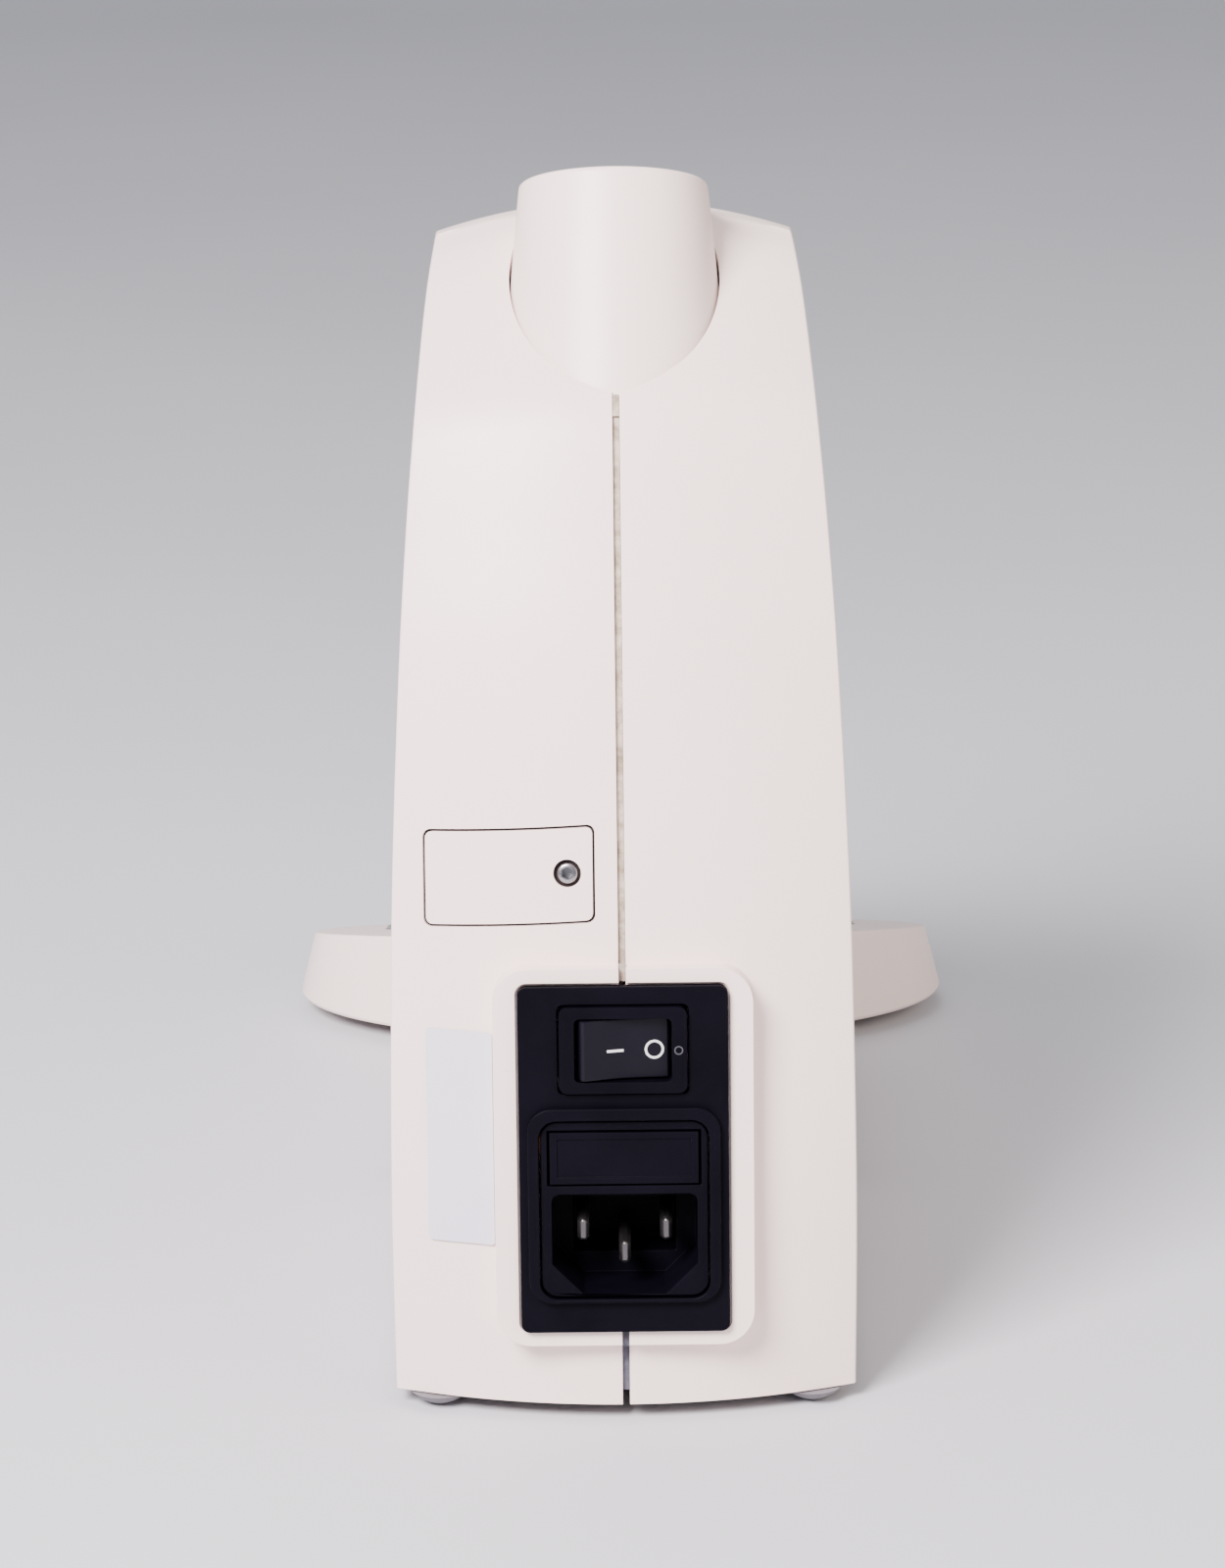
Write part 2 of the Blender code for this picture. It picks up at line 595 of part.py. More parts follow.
# ------------------------------------------------------------------ control head
head = turned("control_head", [
    (HEAD_R1 - 2.2, HEAD_LEN), (HEAD_R1 - 0.5, HEAD_LEN), (HEAD_R1, HEAD_LEN - 0.5),
    (head_r(30), 30), (head_r(20), 20), (head_r(10), 10), (head_r(-3.7), -3.7),
    (head_r(-4) - 0.3, -4.0), (head_r(-4) - 2.2, -4.0), (head_r(20) - 2.2, 20), (head_r(28) - 2.2, 28), (7, 28), (7, 30),
    (head_r(30) - 2.2, 30)], "shell", head_at(0), HEAD_ROT, 36)
knob = turned("speed_dial", [
    (0, 36.4), (9.0, 36.4), (11.0, 37.1), (12.1, 37.1), (12.8, 36.5), (13.0, 30.6),
    (12.6, 30.35), (0, 30.35)], "black", head_at(0), HEAD_ROT, 32)
boolean(knob, cyl("dial_dimple", 2.6, 4.0, None, head_at(38.0) + HEAD_ROT @ Vector((0, 6.2 * MM, 0)) - Vector((0, 0, 0)),
                  HEAD_ROT, r2=4.4, n=20))
cyl("dial_shaft", 3.0, 11.5, "steel", head_at(30.05 - 5.75), HEAD_ROT, n=20)
turned("dial_encoder", [(3.4, 26.6), (6.4, 26.6), (6.4, 27.6), (9.5, 27.6), (9.5, 18.0), (3.4, 18.0)],
       "rotor", head_at(0), HEAD_ROT, 24)
outline("head_board", circle(15.6, 20), 1.5, "pcb", head_at(16.8), HEAD_ROT)
turned("head_clamp", [(12.6, -1.0), (14.6, -1.0), (14.6, -3.4), (10.0, -3.4), (10.0, -1.6),
                      (12.6, -1.6)], "steel", head_at(0), HEAD_ROT, 16)

# ------------------------------------------------------------------ base plate and feet
base_pts = [(33.5, 14), (33.5, 104), (18.3, 104), (18.3, 126), (37.5, 126), (37.5, 170),
            (18.3, 170), (18.3, 216), (48, 216), (46, 227), (30, 237), (14, 242)]
ring = base_pts + [(-x, s) for x, s in reversed(base_pts)]
outline("base_plate", [(x, Y_REAR - s) for x, s in ring], 2.0, "steel", Vector((0, 0, 4.4 * MM)))


def foot_pad(name, x, s, r, h):
    R = (r * r + h * h) / (2 * h)
    prof = [(0, h), (r, h)]
    for k in range(1, 4):
        t = h * (1 - k / 4)
        prof.append((math.sqrt(max(R * R - (R - t) ** 2, 0.01)), t))
    prof += [(1.6, 0), (0, 0)]
    return turned(name, prof, "rubber", W(x, s, 0), None, 14)


foot_pad("rear_foot_left", 32.0, 9.6, 5.3, 2.7)
foot_pad("rear_foot_right", -32.0, 9.6, 5.3, 2.7)
foot_pad("front_foot_left", 44.0, 222.0, 5.0, 3.1)
foot_pad("front_foot_right", -44.0, 222.0, 5.0, 3.1)

# ------------------------------------------------------------------ rotor chamber
S0 = 119.0


def chamber_outline(off):
    """Plan of the chamber housing in (x, Y); off shrinks it."""
    w, r = CH_W / 2 - off, 33.0 - off
    pts = [(w, S0 + off), (w, CH_FRONT - 33.0)]
    for k in range(1, 9):
        a = math.radians(90 * k / 8)
        pts.append((w - r + r * math.cos(a), CH_FRONT - 33.0 + r * math.sin(a)))
    ring = pts + [(-x, s) for x, s in reversed(pts)]
    return [(x, Y_REAR - s) for x, s in ring]


zc = (3.2 + CH_TOP) / 2
housing = outline("chamber_housing", chamber_outline(0), CH_TOP - 3.2, "shell",
                  Vector((0, 0, zc * MM)))
boolean(housing, outline("chamber_inside", chamber_outline(WALL), 70, None,
                         Vector((0, 0, (CH_TOP - 2.6 - 35) * MM))))
boolean(housing, cyl("chamber_mouth", 36.4, 20, None, W(0, CH_S, CH_TOP), n=40))
boolean(housing, box("chamber_slot_rear", (38.0, 12.0, 8.0), None, W(0, S0, 3.0)))
boolean(housing, box("chamber_slot_front", (38.0, 20.0, 8.0), None, W(0, CH_FRONT, 3.0)))
boolean(housing, box("latch_hole", (15.2, 12.0, 7.2), None, W(0, CH_FRONT, 52)))
for sx in (-1, 1):
    boolean(housing, box("hinge_lug_%d" % sx, (4, 6.4, 10.0), None, W(sx * 17.2, 122.8, 65.2)),
            "UNION")
boolean(housing, cyl("hinge_bore", 1.8, 60, None, W(0, 122.8, 67),
                     Matrix.Rotation(math.pi / 2, 4, "Y"), n=20))
cyl("hinge_pin", 1.5, 39.0, "steel", W(0, 122.8, 67), Matrix.Rotation(math.pi / 2, 4, "Y"), n=20)

turned("chamber_bowl", [(34.4, 63.2), (38.3, 63.2), (38.3, 62.3), (35.5, 62.3), (35.5, 34.0),
                        (33.8, 32.4), (6.5, 32.4), (6.5, 34.0), (33.0, 34.0), (34.3, 35.4)],
       "liner", W(0, CH_S, 0), None, 32)

# lid: a low clear dome on a flat rim, hinged at the back
lid = turned("lid", [(0, 79.0), (9, 78.7), (18, 77.8), (26, 76.1), (33, 73.2), (38, 69.6),
                     (40.4, 66.6), (41.0, 65.0), (41.0, 62.5), (39.2, 62.5), (39.2, 65.0),
                     (38.6, 66.0), (36.6, 68.2), (32, 71.4), (25, 74.2), (17.5, 75.8),
                     (9, 76.7), (0, 77.0)], "smoke", W(0, CH_S, 0), None, 32)
for sx in (-1, 1):
    boolean(lid, box("lid_arm_%d" % sx, (4, 10.2, 6.4), None, W(sx * 12.6, 125.0, 66.3)), "UNION")
boolean(lid, cyl("lid_cavity_keep", 38.6, 9.6, None, W(0, CH_S, 60.9), n=40))
boolean(lid, cyl("lid_bore", 1.85, 60, None, W(0, 122.8, 67),
                 Matrix.Rotation(math.pi / 2, 4, "Y"), n=20))
turned("lid_seal", [(36.6, 65.3), (38.2, 65.3), (38.2, 63.7), (36.6, 63.7)], "rubber",
       W(0, CH_S, 0), None, 32)

# rotor with eight tube bores, on the motor shaft
rotor = turned("rotor", [(3.3, 49.0), (8.0, 49.0), (28.5, 55.6), (31.0, 56.0), (ROTOR_R, 55.0),
                         (ROTOR_R, 40.5), (30.0, 38.0), (10.0, 36.6), (3.3, 36.6)],
               "rotor", W(0, CH_S, 0), None, 32)
for k in range(8):
    a = 2 * math.pi * (k + 0.5) / 8
    tilt = Matrix.Rotation(a, 4, "Z") @ Matrix.Rotation(math.radians(-35), 4, "Y")
    boolean(rotor, cyl("tube_bore_%d" % k, 3.3, 26, None,
                       W(0, CH_S, 0) + Matrix.Rotation(a, 4, "Z") @ Vector((19.4 * MM, 0, 53.6 * MM)),
                       tilt, n=12))
turned("rotor_nut", [(0, 57.0), (4.4, 57.0), (5.4, 56.0), (5.4, 50.2), (6.4, 49.5), (6.4, 49.3),
                     (0, 49.3)], "steel", W(0, CH_S, 0), None, 12)
cyl("motor_shaft", 3.0, 20.6, "steel", W(0, CH_S, 38.6), n=20)
turned("motor", [(0, 27.8), (14.6, 27.8), (15.4, 27.0), (15.4, 8.6), (14.6, 7.8), (0, 7.8)],
       "steel", W(0, CH_S, 0), None, 32)
outline("motor_plate", [(x, y) for x, y in circle(30.0, 24)], 1.6, "steel",
        W(0, CH_S, 29.2), holes=[circle(6.5, 20)])
for k in range(3):
    cyl("motor_damper_%d" % (k + 1), 3.6, 1.7, "rubber",
        W(24 * math.cos(2.0944 * k + 0.5), CH_S + 24 * math.sin(2.0944 * k + 0.5), 31.2), n=16)

# lid release: push button with its hook behind the front wall
box("release_button", (14.4, 5.2, 6.4), "black", W(0, CH_FRONT - 0.1, 52), None, 0.6, 2)
box("latch_hook", (9.0, 1.2, 7.0), "steel", W(0, CH_FRONT - 3.7, 54.0), None, 0.2, 1)

# ------------------------------------------------------------------ wedge foot


def top_z(s):
    return FOOT_TOP_Z + (FOOT_S - s) * math.tan(FOOT_SLOPE)


def foot_ring(a, rear, front, zf, n=44):
    ring = []
    for k in range(n):
        t = 2 * math.pi * k / n
        x = a * math.sin(t)
        s = FOOT_S + (front if math.cos(t) > 0 else rear) * math.cos(t)
        ring.append((x, s, zf(s)))
    return ring


rings = [foot_ring(FOOT_A - 0.9, FOOT_REAR - 0.9, FOOT_FRONT - 0.9, lambda s: 3.4),
         foot_ring(FOOT_A, FOOT_REAR, FOOT_FRONT, lambda s: 4.2),
         foot_ring(FOOT_A - 2.9, FOOT_REAR - 3.6, FOOT_FRONT - 3.6, lambda s: max(top_z(s) - 0.9, 5.0)),
         foot_ring(FOOT_A - 3.7, FOOT_REAR - 4.4, FOOT_FRONT - 4.6, top_z)]


def loft(name, rings, mat=None):
    """Closed body through matching rings, with flat ends."""
    bm = bmesh.new()
    rows = [[bm.verts.new(W(*p)) for p in ring] for ring in rings]
    for a, b in zip(rows, rows[1:]):
        for k in range(len(a)):
            bm.faces.new((a[k], a[(k + 1) % len(a)], b[(k + 1) % len(a)], b[k]))
    bm.faces.new(rows[0])
    bm.faces.new(rows[-1])
    return obj_from_bm(name, bm, mat)


foot = loft("foot_housing", rings, "shell")
boolean(foot, loft("foot_inside", [
    foot_ring(FOOT_A - 5.0, FOOT_REAR - 5.0, FOOT_FRONT - 14.0, lambda s: -3.0),
    foot_ring(FOOT_A - 6.4, FOOT_REAR - 7.2, FOOT_FRONT - 15.0, lambda s: top_z(s) - 2.2)]))
boolean(foot, outline("foot_notch", chamber_outline(-0.4), 90, None, Vector((0, 0, 30 * MM))))


def on_top(x, s, h=0.0):
    """Point h above the foot's sloping top."""
    return W(x, s + math.sin(FOOT_SLOPE) * h, top_z(s) + math.cos(FOOT_SLOPE) * h)


TOP_ROT = lean(FOOT_SLOPE)
boolean(foot, box("display_cut", (34.6, 14.6, 12), None, on_top(0, 225), TOP_ROT))
box("display_window", (34.0, 14.0, 1.4), "glass", on_top(0, 225, -0.5), TOP_ROT, 0.3, 1)
box("display_module", (30.0, 11.0, 2.4), "rotor", on_top(0, 225, -2.9), TOP_ROT)
for name, x, s, mat in (("start_button", 30.0, 226.0, "green"), ("stop_button", -30.0, 226.0, "red"),
                        ("time_up_button", 45.0, 226.0, "black"),
                        ("time_down_button", -45.0, 226.0, "black")):
    boolean(foot, cyl(name + "_hole", 4.9, 12, None, on_top(x, s), TOP_ROT, n=20))
    turned(name, [(0, 0.8), (3.9, 0.8), (4.5, 0.3), (4.5, -3.0), (0, -3.0)], mat,
           on_top(x, s), TOP_ROT, 20)
outline("key_board", rrect(104, 12, 2, 3), 1.2, "pcb", on_top(0, 225.6, -5.1), TOP_ROT)

# ------------------------------------------------------------------ electronics in the column
outline("control_board", rrect(60, 84, 3, 3), 1.6, "pcb", W(-26, 66, 76),
        Matrix.Rotation(math.pi / 2, 4, "Y") @ Matrix.Rotation(math.pi / 2, 4, "Z"))
box("transformer_core", (34, 30, 34), "steel", W(6, 78, 23.2), None, 0.6, 1)
box("transformer_coil", (30, 8.0, 20), "copper", W(6, 57.5, 23.2), None, 2.0, 2)

for ob in PARTS.objects:
    if ob.type == "MESH" and not ob.data.polygons:
        continue
    if ob.name in ("left_housing", "right_housing", "foot_housing"):
        ob.data.shade_smooth()
        ob.data.set_sharp_from_angle(angle=math.radians(40))
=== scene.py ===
import math
import json

import bmesh
import bpy
from mathutils import Matrix, Vector, noise

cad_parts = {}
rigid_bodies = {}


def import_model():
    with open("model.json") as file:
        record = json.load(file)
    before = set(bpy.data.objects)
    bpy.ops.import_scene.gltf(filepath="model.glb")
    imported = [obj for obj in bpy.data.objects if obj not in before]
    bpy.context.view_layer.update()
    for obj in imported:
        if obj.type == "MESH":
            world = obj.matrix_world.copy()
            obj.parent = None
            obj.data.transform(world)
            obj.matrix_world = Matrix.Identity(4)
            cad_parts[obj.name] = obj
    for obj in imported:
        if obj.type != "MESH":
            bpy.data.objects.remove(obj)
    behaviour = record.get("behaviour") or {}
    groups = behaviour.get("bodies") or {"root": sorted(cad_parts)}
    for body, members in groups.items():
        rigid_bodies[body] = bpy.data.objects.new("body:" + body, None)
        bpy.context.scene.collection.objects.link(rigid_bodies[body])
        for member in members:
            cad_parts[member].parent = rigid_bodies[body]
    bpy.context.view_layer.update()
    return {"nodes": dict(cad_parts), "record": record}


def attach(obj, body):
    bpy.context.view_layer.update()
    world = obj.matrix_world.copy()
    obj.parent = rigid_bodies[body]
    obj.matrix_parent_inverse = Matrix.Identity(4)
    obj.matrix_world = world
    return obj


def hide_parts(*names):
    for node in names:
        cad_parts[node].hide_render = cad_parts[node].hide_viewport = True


for ob in list(bpy.data.objects):
    bpy.data.objects.remove(ob, do_unlink=True)
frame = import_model()
RECORD = frame["record"]
NODES = frame["nodes"]
BODY_OF = {n: b for b, ns in RECORD["behaviour"]["bodies"].items() for n in ns}
SLOT_OF = {s["node"]: s["material_slot"] for s in RECORD["subparts"]}

# ------------------------------------------------------------------ design dimensions, mm
MM = 0.001
Y_REAR = 128.54          # world Y of the s = 0 plane, centres the whole in Y
GAP = 0.3                # play between touching pieces

COLUMN_CROWN_R = 95.0    # radius of the crowned rear, top and front band
SEAM = 1.2               # open seam between the two halves
WALL = 2.4
COLUMN_Z0 = 3.0
# rear profile of the column, (s, z), bottom to apex
REAR = [(0, 3), (0.2, 20), (1.7, 47), (4.6, 72), (8, 95), (16.4, 130), (24.4, 152),
        (28, 161), (31.2, 167.4), (35.6, 172.8), (42, 177.4), (50, 182.4), (60, 188.2),
        (69, 192.7), (78, 195.5)]
# front profile, apex to bottom
FRONT = [(78, 195.5), (88, 194.4), (98, 190), (106, 181), (111, 167), (115, 145),
         (117.4, 118), (118, 90), (118, 50), (118, 3)]
# half width of the column against height, (z, half width)
HALF_W = [(0, 39.42), (35, 39.6), (70, 39.1), (95, 38.42), (128, 36.85), (150, 35.4),
          (168, 33.85), (178, 32.95), (184, 32.25), (188, 31.55), (191, 30.9), (196, 30.4)]

HEAD_LEAN = math.radians(21.6)   # control head leans forwards
HEAD_BASE = (53.6, 165.4)        # centre of the head's lower circle, (s, z)
HEAD_R0, HEAD_R1, HEAD_LEN = 19.6, 16.3, 37.9

PLATE_LEAN = math.radians(5.0)   # power entry plate leans forwards
PLATE_C = (1.7, 47.5)            # plate centre on the body line, (s, z)
BOSS_OUT = 1.8                   # boss face above the plate centre
PLATE_W, PLATE_H, PLATE_T = 35.2, 59.9, 1.9

HATCH = (4.4, 33.2, 87.2, 103.3)  # x0, x1, z0, z1
HATCH_TILT = -0.073               # its long edges drop a little towards the side wall
HATCH_SCREW = (9.0, 95.2)

CH_S = 165.0                     # chamber centre
CH_W, CH_FRONT = 84.0, 207.0     # chamber housing width and front
CH_TOP = 62.0
ROTOR_R = 31.5

FOOT_S = 219.0                   # widest station of the foot
FOOT_A, FOOT_REAR, FOOT_FRONT = 67.4, 34.0, 43.0
FOOT_TOP_Z, FOOT_SLOPE = 16.6, math.radians(15.0)


PARTS = bpy.context.scene.collection
CUTS = bpy.data.collections.new("cutters")
bpy.context.scene.collection.children.link(CUTS)
M = {}
def W(x, s, z):
    """Layout position in millimetres to the world."""
    return Vector((x, Y_REAR - s, z)) * MM


def lean(angle):
    """Rotation that tips a +Z axis forwards (towards -Y) by angle."""
    return Matrix.Rotation(angle, 4, "X")


def face_out(bm):
    """Consistent outward normals on a closed body."""
    bmesh.ops.recalc_face_normals(bm, faces=bm.faces)
    if bm.calc_volume(signed=True) < 0:
        bmesh.ops.reverse_faces(bm, faces=bm.faces)


def obj_from_bm(name, bm, mat=None, coll=None, at=None, rot=None, smooth=None):
    face_out(bm)
    me = bpy.data.meshes.new(name)
    bm.to_mesh(me)
    bm.free()
    if mat:
        me.materials.append(M[mat])
    ob = bpy.data.objects.new(name, me)
    (coll or PARTS).objects.link(ob)
    m = Matrix.Translation(at if at is not None else Vector((0, 0, 0)))
    if rot is not None:
        m = m @ rot
    ob.matrix_world = m
    if smooth:
        me.shade_smooth()
        me.set_sharp_from_angle(angle=math.radians(smooth))
    return ob


def cutter_of(ob):
    for c in ob.users_collection:
        c.objects.unlink(ob)
    CUTS.objects.link(ob)
    ob.hide_render = True
    ob.display_type = "WIRE"
    return ob


def boolean(ob, other, op="DIFFERENCE"):
    cutter_of(other)
    b = ob.modifiers.new(op.lower(), "BOOLEAN")
    b.object = other
    b.operation = op
    b.solver = "EXACT"
    return ob


def box(name, size, mat=None, at=None, rot=None, bevel=0.0, seg=2, coll=None):
    """Box centred on its own origin."""
    bm = bmesh.new()
    bmesh.ops.create_cube(bm, size=1.0)
    bmesh.ops.scale(bm, vec=Vector(size) * MM, verts=bm.verts)
    ob = obj_from_bm(name, bm, mat, coll, at, rot)
    if bevel:
        b = ob.modifiers.new("edge", "BEVEL")
        b.width, b.segments, b.limit_method = bevel * MM, seg, "ANGLE"
        b.angle_limit = math.radians(40)
    return ob


def cyl(name, r, h, mat=None, at=None, rot=None, r2=None, n=32, coll=None):
    """Cylinder or cone along its own Z, centred."""
    bm = bmesh.new()
    bmesh.ops.create_cone(bm, cap_ends=True, segments=n, radius1=r * MM,
                          radius2=(r if r2 is None else r2) * MM, depth=h * MM)
    return obj_from_bm(name, bm, mat, coll, at, rot, smooth=35)


def turned(name, profile, mat=None, at=None, rot=None, steps=32, coll=None):
    """Solid of revolution about its own Z. profile is (r, z), top to bottom
    down the outer side; a hollow piece comes back up the inner side."""
    bm = bmesh.new()
    vs = [bm.verts.new((r * MM, 0, z * MM)) for r, z in profile]
    for a, b in zip(vs, vs[1:]):
        bm.edges.new((a, b))
    if profile[0][0] > 0 and profile[-1][0] > 0:
        bm.edges.new((vs[-1], vs[0]))
    me = bpy.data.meshes.new(name)
    bm.to_mesh(me)
    bm.free()
    if mat:
        me.materials.append(M[mat])
    ob = bpy.data.objects.new(name, me)
    (coll or PARTS).objects.link(ob)
    m = Matrix.Translation(at if at is not None else Vector((0, 0, 0)))
    ob.matrix_world = m @ rot if rot is not None else m
    sc = ob.modifiers.new("turn", "SCREW")
    sc.axis, sc.angle, sc.steps, sc.render_steps = "Z", 2 * math.pi, steps, steps
    sc.use_merge_vertices, sc.merge_threshold = True, 0.00001
    sc.use_smooth_shade = True
    return ob


def outline(name, pts, depth, mat=None, at=None, rot=None, coll=None, holes=()):
    """Flat outline in its own XY plane, extruded to depth and centred on it."""
    cu = bpy.data.curves.new(name, "CURVE")
    cu.dimensions, cu.fill_mode, cu.extrude = "2D", "BOTH", depth * MM / 2
    for ring in (pts, *holes):
        sp = cu.splines.new("POLY")
        sp.points.add(len(ring) - 1)
        for p, (a, b) in zip(sp.points, ring):
            p.co = (a * MM, b * MM, 0, 1)
        sp.use_cyclic_u = True
    tmp = bpy.data.objects.new(name + "_curve", cu)
    bpy.context.scene.collection.objects.link(tmp)
    m = Matrix.Translation(at if at is not None else Vector((0, 0, 0)))
    tmp.matrix_world = m @ rot if rot is not None else m
    bpy.context.view_layer.update()
    ev = tmp.evaluated_get(bpy.context.evaluated_depsgraph_get())
    me = bpy.data.meshes.new_from_object(ev)
    mw = tmp.matrix_world.copy()
    bpy.data.objects.remove(tmp, do_unlink=True)
    bm = bmesh.new()
    bm.from_mesh(me)
    bmesh.ops.remove_doubles(bm, verts=bm.verts, dist=0.000005)
    face_out(bm)
    bm.to_mesh(me)
    bm.free()
    me.name = name
    me.materials.clear()
    if mat:
        me.materials.append(M[mat])
    ob = bpy.data.objects.new(name, me)
    (coll or PARTS).objects.link(ob)
    ob.matrix_world = mw
    return ob


def rrect(w, h, r, n=5, cx=0.0, cy=0.0):
    """Rounded rectangle, counter-clockwise."""
    pts = []
    for qx, qy, a0 in ((1, 1, 0), (-1, 1, 90), (-1, -1, 180), (1, -1, 270)):
        for k in range(n + 1):
            a = math.radians(a0 + 90 * k / n)
            pts.append((cx + qx * (w / 2 - r) + r * math.cos(a),
                        cy + qy * (h / 2 - r) + r * math.sin(a)))
    return pts


def circle(r, n=32, cx=0.0, cy=0.0):
    return [(cx + r * math.cos(2 * math.pi * k / n), cy + r * math.sin(2 * math.pi * k / n))
            for k in range(n)]


def smooth_path(ctrl, n):
    """Chord-weighted cubic through the control points, n steps per span."""
    C = [Vector(c) for c in ctrl]
    C = [2 * C[0] - C[1], *C, 2 * C[-1] - C[-2]]
    out = []
    for i in range(1, len(C) - 2):
        p0, p1, p2, p3 = C[i - 1:i + 3]
        d1, d2, d3 = (p1 - p0).length, (p2 - p1).length, (p3 - p2).length
        m1, m2 = (p2 - p0) / (d1 + d2) * d2, (p3 - p1) / (d2 + d3) * d2
        for k in range(n):
            t = k / n
            out.append((2 * t**3 - 3 * t**2 + 1) * p1 + (t**3 - 2 * t**2 + t) * m1
                       + (3 * t**2 - 2 * t**3) * p2 + (t**3 - t**2) * m2)
    out.append(C[-2])
    return out


def lookup(table, z):
    """Linear interpolation in a table of (z, value)."""
    if z <= table[0][0]:
        return table[0][1]
    for (z0, a), (z1, b) in zip(table, table[1:]):
        if z <= z1:
            return a + (b - a) * (z - z0) / (z1 - z0)
    return table[-1][1]


def half_width(z):
    path = smooth_path(HALF_W, 6)
    return lookup([(p.x, p.y) for p in path], z)


# the column's two profile lines, matched height for height
REAR_LINE = smooth_path(REAR, 5)
FRONT_FINE = smooth_path(FRONT, 24)
K = len(REAR_LINE) - 1


def front_at(z):
    """Front profile point at a height."""
    best = FRONT_FINE[-1]
    for a, b in zip(FRONT_FINE, FRONT_FINE[1:]):
        if a.y >= z >= b.y and a.y > b.y:
            t = (a.y - z) / (a.y - b.y)
            return a.lerp(b, t)
    return best


def inward(line, i, flip):
    a, b = line[max(i - 1, 0)], line[min(i + 1, len(line) - 1)]
    t = (b - a).normalized()
    n = Vector((t.y, -t.x))
    return -n if flip else n


FRONT_LINE = [front_at(p.y) for p in REAR_LINE[:-1]] + [REAR_LINE[-1]]


def rib(line, i, flip, x, top):
    """Point of the crowned band at side distance x."""
    n = Vector((0, -1)) if top else inward(line, i, flip)
    if i == 0:
        n = Vector((-1.0 if flip else 1.0, 0))
    q = line[i] + n * (x * x / (2 * COLUMN_CROWN_R))
    return q


def edge_x(line, i, flip, top):
    """Side distance of the corner edge at a rib."""
    x = 36.0
    for _ in range(6):
        x = half_width(rib(line, i, flip, x, top).y)
    return x


def column_body(name, side, off=0.0, x0=SEAM / 2, drop=0.0, cols=14):
    """Solid half of the column, or with off the smaller body that hollows it."""
    bm = bmesh.new()
    weight = bm.edges.layers.float.new("bevel_weight_edge")

    def row(line, i, flip, top=False):
        xe = edge_x(line, i, flip, top) - off
        n = Vector((0, -1)) if top else inward(line, i, flip)
        if i == 0:
            n = Vector((-1.0 if flip else 1.0, 0))
        out = []
        for k in range(cols + 1):
            x = x0 + (xe - x0) * k / cols
            q = rib(line, i, flip, x, top) + n * off
            out.append(bm.verts.new(W(side * x, q.x, q.y - (drop if i == 0 else 0))))
        return out

    rear = [row(REAR_LINE, i, False) for i in range(K)]
    front = [row(FRONT_LINE, i, True) for i in range(K)]
    apex = row(REAR_LINE, K, False, True)
    rear.append(apex)
    front.append(apex)
    for rows in (rear, front):
        for a, b in zip(rows, rows[1:]):
            for k in range(cols):
                bm.faces.new((a[k], a[k + 1], b[k + 1], b[k]))
    for end in (0, -1):                       # seam plane and side wall
        for i in range(K):
            quad = [rear[i][end], rear[i + 1][end], front[i + 1][end], front[i][end]]
            bm.faces.new(list(dict.fromkeys(quad)))
    for k in range(cols):                     # underside
        bm.faces.new((rear[0][k], rear[0][k + 1], front[0][k + 1], front[0][k]))
    for rows in (rear, front):
        for end, w in ((0, 0.35), (-1, 1.0)):
            for a, b in zip(rows, rows[1:]):
                bm.edges.get((a[end], b[end]))[weight] = w
    return obj_from_bm(name, bm)


def column_half(name, side):
    """One half of the clamshell: open at the seam and underneath."""
    ob = column_body(name, side)
    bv = ob.modifiers.new("corner", "BEVEL")
    bv.width, bv.segments, bv.limit_method = 0.9 * MM, 4, "WEIGHT"
    boolean(ob, column_body("inside_" + name, side, WALL, -4.0, 8.0))
    return ob


def surface_point(x, z, depth=0.0):
    """Point on the rear band, found by height on its own surface."""
    pts = []
    for i in range(K):
        q = rib(REAR_LINE, i, False, abs(x), False)
        n = inward(REAR_LINE, i, False)
        pts.append((q, n))
    for (a, na), (b, nb) in zip(pts, pts[1:]):
        if a.y <= z <= b.y:
            t = (z - a.y) / (b.y - a.y)
            q, n = a.lerp(b, t), na.lerp(nb, t).normalized()
            break
    else:
        q, n = pts[0]
    yaw = -x / COLUMN_CROWN_R            # crown turns the normal sideways
    dx = math.sin(yaw)
    c = math.cos(yaw)
    return W(x + dx * depth, q.x + n.x * c * depth, q.y + n.y * c * depth)


def mapped_slab(name, x0, x1, z0, z1, r, d0, d1, mat=None, coll=None, nx=4, nz=3, tilt=0.0):
    """Rounded panel that follows the rear band between two depths."""
    bm = bmesh.new()
    bmesh.ops.create_grid(bm, x_segments=nx, y_segments=nz, size=0.5)
    for v in bm.verts:
        v.co.x = x0 + (v.co.x + 0.5) * (x1 - x0)
        v.co.y = z0 + (v.co.y + 0.5) * (z1 - z0)
    corner = [v for v in bm.verts if len(v.link_faces) == 1]
    bmesh.ops.bevel(bm, geom=corner, offset=r * 1.414 * 0.72, segments=4, profile=0.5,
                    affect="VERTICES")
    flat = [(v, v.co.copy()) for v in bm.verts]
    top = list(bm.faces)
    bnd = [e for e in bm.edges if len(e.link_faces) == 1]
    low = {}
    for v, c in flat:
        z = c.y + tilt * (c.x - HATCH[0])
        v.co = surface_point(c.x, z, d0)
        low[v] = bm.verts.new(surface_point(c.x, z, d1))
    for f in top:
        bm.faces.new([low[v] for v in reversed(f.verts)])
    for e in bnd:
        a, b = e.verts
        bm.faces.new((a, b, low[b], low[a]))
    return obj_from_bm(name, bm, mat, coll)


